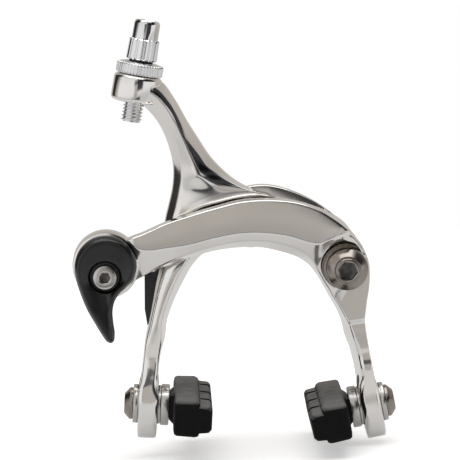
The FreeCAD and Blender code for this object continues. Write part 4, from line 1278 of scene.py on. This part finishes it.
# %% [markdown]
# ## Small pieces with soft edges
# A pressed or moulded piece never has a razor edge. The bracket, the spacer, the cable clamp with its
# nut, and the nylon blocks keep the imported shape, apart from a narrow bevel along each sharp edge that
# catches the light.

# %% Bevelled small pieces
def softened(node_name, body, width):
    """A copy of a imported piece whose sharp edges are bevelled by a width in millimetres."""
    packed = frame["nodes"][node_name]
    mesh = packed.data.copy()
    mesh.transform(packed.matrix_world)
    work = bmesh.new()
    work.from_mesh(mesh)
    bmesh.ops.remove_doubles(work, verts=work.verts, dist=SAME_POINT)
    bmesh.ops.dissolve_limit(work, angle_limit=math.radians(0.5), verts=work.verts, edges=work.edges)
    work.to_mesh(mesh)
    work.free()
    piece = placed(node_name + "_softened", mesh)
    bevel = piece.modifiers.new("bevel", "BEVEL")
    bevel.width = width * MM
    bevel.segments = 3
    bevel.limit_method = "ANGLE"
    bevel.angle_limit = math.radians(40)
    finished = evaluated_mesh(piece)
    piece.modifiers.remove(bevel)
    piece.data = finished
    bpy.data.meshes.remove(mesh)
    crisp(piece, 30)
    return dress(piece, body, slot_of[node_name], node_name)


for node_name, body, width in (
        ("mounting_bracket", "mount", 0.5), ("crown_spacer", "mount", 0.3),
        ("left_spring_block", "long_arm", 0.5), ("right_spring_block", "short_arm", 0.5),
        ("cable_clamp_plate", "quick_release", 0.25), ("cable_anchor_nut", "quick_release", 0.2)):
    softened(node_name, body, width)

# %% [markdown]
# ## The cone washer
# The side bolt presses on a turned steel washer with a conical front, which nearly fills the scoop.
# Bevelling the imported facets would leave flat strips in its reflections, so we turn its section on a fine
# lathe.

# %% The cone washer under the side bolt
CONE = [(3.05, -26.15), (5.9, -26.15), (6.05, -26.3), (6.05, -31.1), (6.0, -31.26), (5.9, -31.4),
        (4.12, -33.3),
        (4.0, -33.38), (3.84, -33.4), (3.66, -33.4), (3.62, -33.2), (3.62, -30.62), (3.05, -30.62),
        (3.05, -26.15)]
cone = mesh_piece("side_cone_washer_turned", *lathe(CONE, (SIDE[0], 0, SIDE[1]), (0, 1, 0), 128))
dress(cone, "mount", "bolt_steel", "side_cone_washer")


# %% [markdown]
# ## Washers on the pads' studs
# Each stud carries a thick cupped washer and a shim on the inside and a plain washer outside. They are
# turned like the cone, in one loop over both legs, with a bore that clears the stud when the pad tilts.

# %% The washers on the pads' studs
BORE = 3.06
WASHERS = {"inner_washer": (6.1, 3.72, 6.18, 0.35), "shim_washer": (5.7, 2.93, 3.68, 0.15),
           "outer_washer": (5.7, -4.4, -2.93, 0.25)}
for side, leg in (("left", LEFT), ("right", RIGHT)):
    for kind, (radius, low, high, edge) in WASHERS.items():
        ease = edge * 0.3
        section = [(BORE, low), (radius - edge, low), (radius - ease, low + ease), (radius, low + edge),
                   (radius, high - edge), (radius - ease, high - ease), (radius - edge, high), (BORE, high),
                   (BORE, low)]
        washer = mesh_piece(f"{side}_pad_{kind}_turned", *lathe(section, leg.at(0, 0), leg.u, 128))
        dress(washer, side + "_pad_clamp", "zinc_steel", f"{side}_pad_{kind}")

# %% [markdown]
# ## The floor and the light
# Polished metal shows its surroundings more than its own colour, so the floor matters twice. The lens
# sees a bright pale sheet, and the metal's reflections see a dimmer one, which a Light Path node chooses.
# One large soft lamp overhead gives the shadow.

# %% Floor
floor_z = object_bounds()[0][2] - 0.0015
floor_mesh = bpy.data.meshes.new("floor")
corners = [(-0.45, -0.16, floor_z), (0.45, -0.16, floor_z), (0.45, 0.5, floor_z), (-0.45, 0.5, floor_z)]
floor_mesh.from_pydata(corners, [], [(0, 1, 2, 3)])
floor = placed("floor", floor_mesh)
paper = bpy.data.materials.new("pale paper")
paper.use_nodes = True
paper_shader = paper.node_tree.nodes["Principled BSDF"]
paper_shader.inputs["Base Color"].default_value = (0.93, 0.93, 0.93, 1)
paper_shader.inputs["Roughness"].default_value = 0.9
paper_shader.inputs["Emission Color"].default_value = (1, 1, 1, 1)
paper_shader.inputs["Emission Strength"].default_value = 0.42
paper_dim = paper.node_tree.nodes.new("ShaderNodeBsdfPrincipled")
paper_dim.inputs["Base Color"].default_value = (0.5, 0.5, 0.5, 1)
paper_dim.inputs["Roughness"].default_value = 0.9
paper_dim.inputs["Emission Color"].default_value = (1, 1, 1, 1)
paper_dim.inputs["Emission Strength"].default_value = 0.28
paper_mix = paper.node_tree.nodes.new("ShaderNodeMixShader")
paper_seen = paper.node_tree.nodes.new("ShaderNodeLightPath")
paper.node_tree.links.new(paper_seen.outputs["Is Camera Ray"], paper_mix.inputs[0])
paper.node_tree.links.new(paper_dim.outputs[0], paper_mix.inputs[1])
paper.node_tree.links.new(paper_shader.outputs[0], paper_mix.inputs[2])
paper.node_tree.links.new(paper_mix.outputs[0], paper.node_tree.nodes["Material Output"].inputs[0])
floor_mesh.materials.append(paper)

# %% [markdown]
# ## The room
# The room is only a world shader: a white tent whose brightness changes with direction, with soft-edged
# cards multiplied in. That costs no geometry and lets each reflection be placed. The lens sees white
# behind it all.

# %% Room and lamps
world = bpy.data.worlds.new("studio")
bpy.context.scene.world = world
world.use_nodes = True
bpy.context.scene.view_settings.view_transform = "Standard"


def tent():
    """A white tent with grey and black cards in it. The lens itself sees plain white."""
    nodes, links = world.node_tree.nodes, world.node_tree.links
    place = nodes.new("ShaderNodeTexCoord")
    parts = nodes.new("ShaderNodeSeparateXYZ")
    links.new(place.outputs["Generated"], parts.inputs[0])

    def ramp(source, stops):
        made = nodes.new("ShaderNodeValToRGB")
        spread = nodes.new("ShaderNodeMapRange")
        spread.inputs["From Min"].default_value = -1.0
        links.new(source, spread.inputs["Value"])
        links.new(spread.outputs[0], made.inputs["Fac"])
        made.color_ramp.interpolation = "EASE"
        for k, (where, value) in enumerate(stops):
            stop = made.color_ramp.elements[k] if k < 2 else made.color_ramp.elements.new(where)
            stop.position = where
            stop.color = (value, value, value, 1)
        return made.outputs["Color"]

    total = ramp(parts.outputs["Z"],
                 [(0.0, 0.6), (0.36, 0.62), (0.46, 0.9), (0.6, 0.92), (0.75, 0.8), (1.0, 0.7)])

    def card(across, along, dim, height=None):
        """A card in the tent: stops give its edges across x and along y, from 0 (bare tent) to 1 (card)."""
        nonlocal total
        hidden = ramp(parts.outputs["X"], across)
        for source, stops in ((parts.outputs["Y"], along), (parts.outputs["Z"], height)):
            if stops:
                hidden = combine("MULTIPLY", hidden, ramp(source, stops))
        made = nodes.new("ShaderNodeMix")
        made.data_type = "RGBA"
        links.new(hidden, made.inputs["Factor"])
        made.inputs["A"].default_value = (1, 1, 1, 1)
        made.inputs["B"].default_value = (*dim, 1)
        total = combine("MULTIPLY", total, made.outputs["Result"])

    def combine(operation, a, b):
        made = nodes.new("ShaderNodeMix")
        made.data_type = "RGBA"
        made.blend_type = operation
        made.inputs["Factor"].default_value = 1.0
        links.new(a, made.inputs["A"])
        links.new(b, made.inputs["B"])
        return made.outputs["Result"]

    card([(0.0, 0), (0.02, 0.2), (0.06, 1), (0.17, 1), (0.22, 0)],
         [(0.44, 0), (0.52, 1), (0.88, 1), (0.95, 0)], (0.06, 0.06, 0.065),
         [(0.38, 0), (0.45, 1), (0.9, 1), (1.0, 1)])
    card([(0.76, 0), (0.8, 1), (0.98, 1), (1.0, 0.6)], [(0.05, 0), (0.12, 1), (0.55, 1), (0.6, 0)],
         (0.05, 0.05, 0.055), [(0.54, 0), (0.6, 1), (0.9, 1), (0.97, 0)])
    card([(0.62, 0), (0.67, 1), (0.86, 1), (0.9, 1)], [(0.0, 1), (0.1, 1), (0.25, 1), (0.35, 0)],
         (0.05, 0.05, 0.055), [(0.55, 0), (0.6, 1), (0.8, 1), (0.86, 0)])
    card([(0.0, 1), (0.3, 1), (0.6, 1), (1.0, 1)], [(0.5, 0), (0.58, 1), (0.9, 1), (1.0, 1)],
         (0.60, 0.57, 0.53))
    card([(0.4, 0), (0.455, 1), (0.535, 1), (0.56, 0)], [(0.02, 1), (0.05, 1), (0.09, 0), (1.0, 0)],
         (0.56, 0.53, 0.50), [(0.38, 0), (0.392, 1), (0.56, 1), (0.6, 0)])
    card([(0.3, 0), (0.36, 1), (0.64, 1), (0.7, 0)], [(0.04, 1), (0.09, 1), (0.13, 0), (1.0, 0)],
         (0.05, 0.05, 0.055), [(0.3, 0), (0.32, 1), (0.36, 1), (0.378, 0)])
    card([(0.38, 0), (0.44, 1), (0.56, 1), (0.6, 0)], [(0.02, 1), (0.07, 1), (0.11, 0), (1.0, 0)],
         (0.12, 0.12, 0.13), [(0.56, 0), (0.575, 1), (0.62, 1), (0.65, 0)])
    card([(0.53, 0), (0.55, 1), (0.72, 1), (0.77, 0)], [(0.02, 1), (0.1, 1), (0.14, 0), (1.0, 0)],
         (0.05, 0.05, 0.055), [(0.45, 0), (0.475, 1), (0.9, 1), (1.0, 1)])
    seen = nodes.new("ShaderNodeLightPath")
    shown = nodes.new("ShaderNodeMix")
    shown.data_type = "RGBA"
    shown.inputs["B"].default_value = (1.0, 1.0, 1.0, 1)
    links.new(seen.outputs["Is Camera Ray"], shown.inputs["Factor"])
    links.new(total, shown.inputs["A"])
    links.new(shown.outputs["Result"], nodes["Background"].inputs[0])
    nodes["Background"].inputs[1].default_value = 1.0


tent()


def lamp(name, where, size, power, toward=(0, 0, -0.01)):
    """A soft square lamp that looks at a point."""
    data = bpy.data.lights.new(name, "AREA")
    data.shape = "SQUARE"
    data.size = size
    data.energy = power
    made = bpy.data.objects.new(name, data)
    made.location = where
    made.rotation_euler = (Vector(toward) - Vector(where)).to_track_quat("-Z", "Y").to_euler()
    bpy.context.scene.collection.objects.link(made)
    return made


lamp("overhead", (0.0, -0.05, 0.9), 0.9, 4.5)
print("floor at", round(floor_z * 1000, 1), "mm")

# %% [markdown]
# ## The end
# The last cell only imports json.

# %% Import json
import json
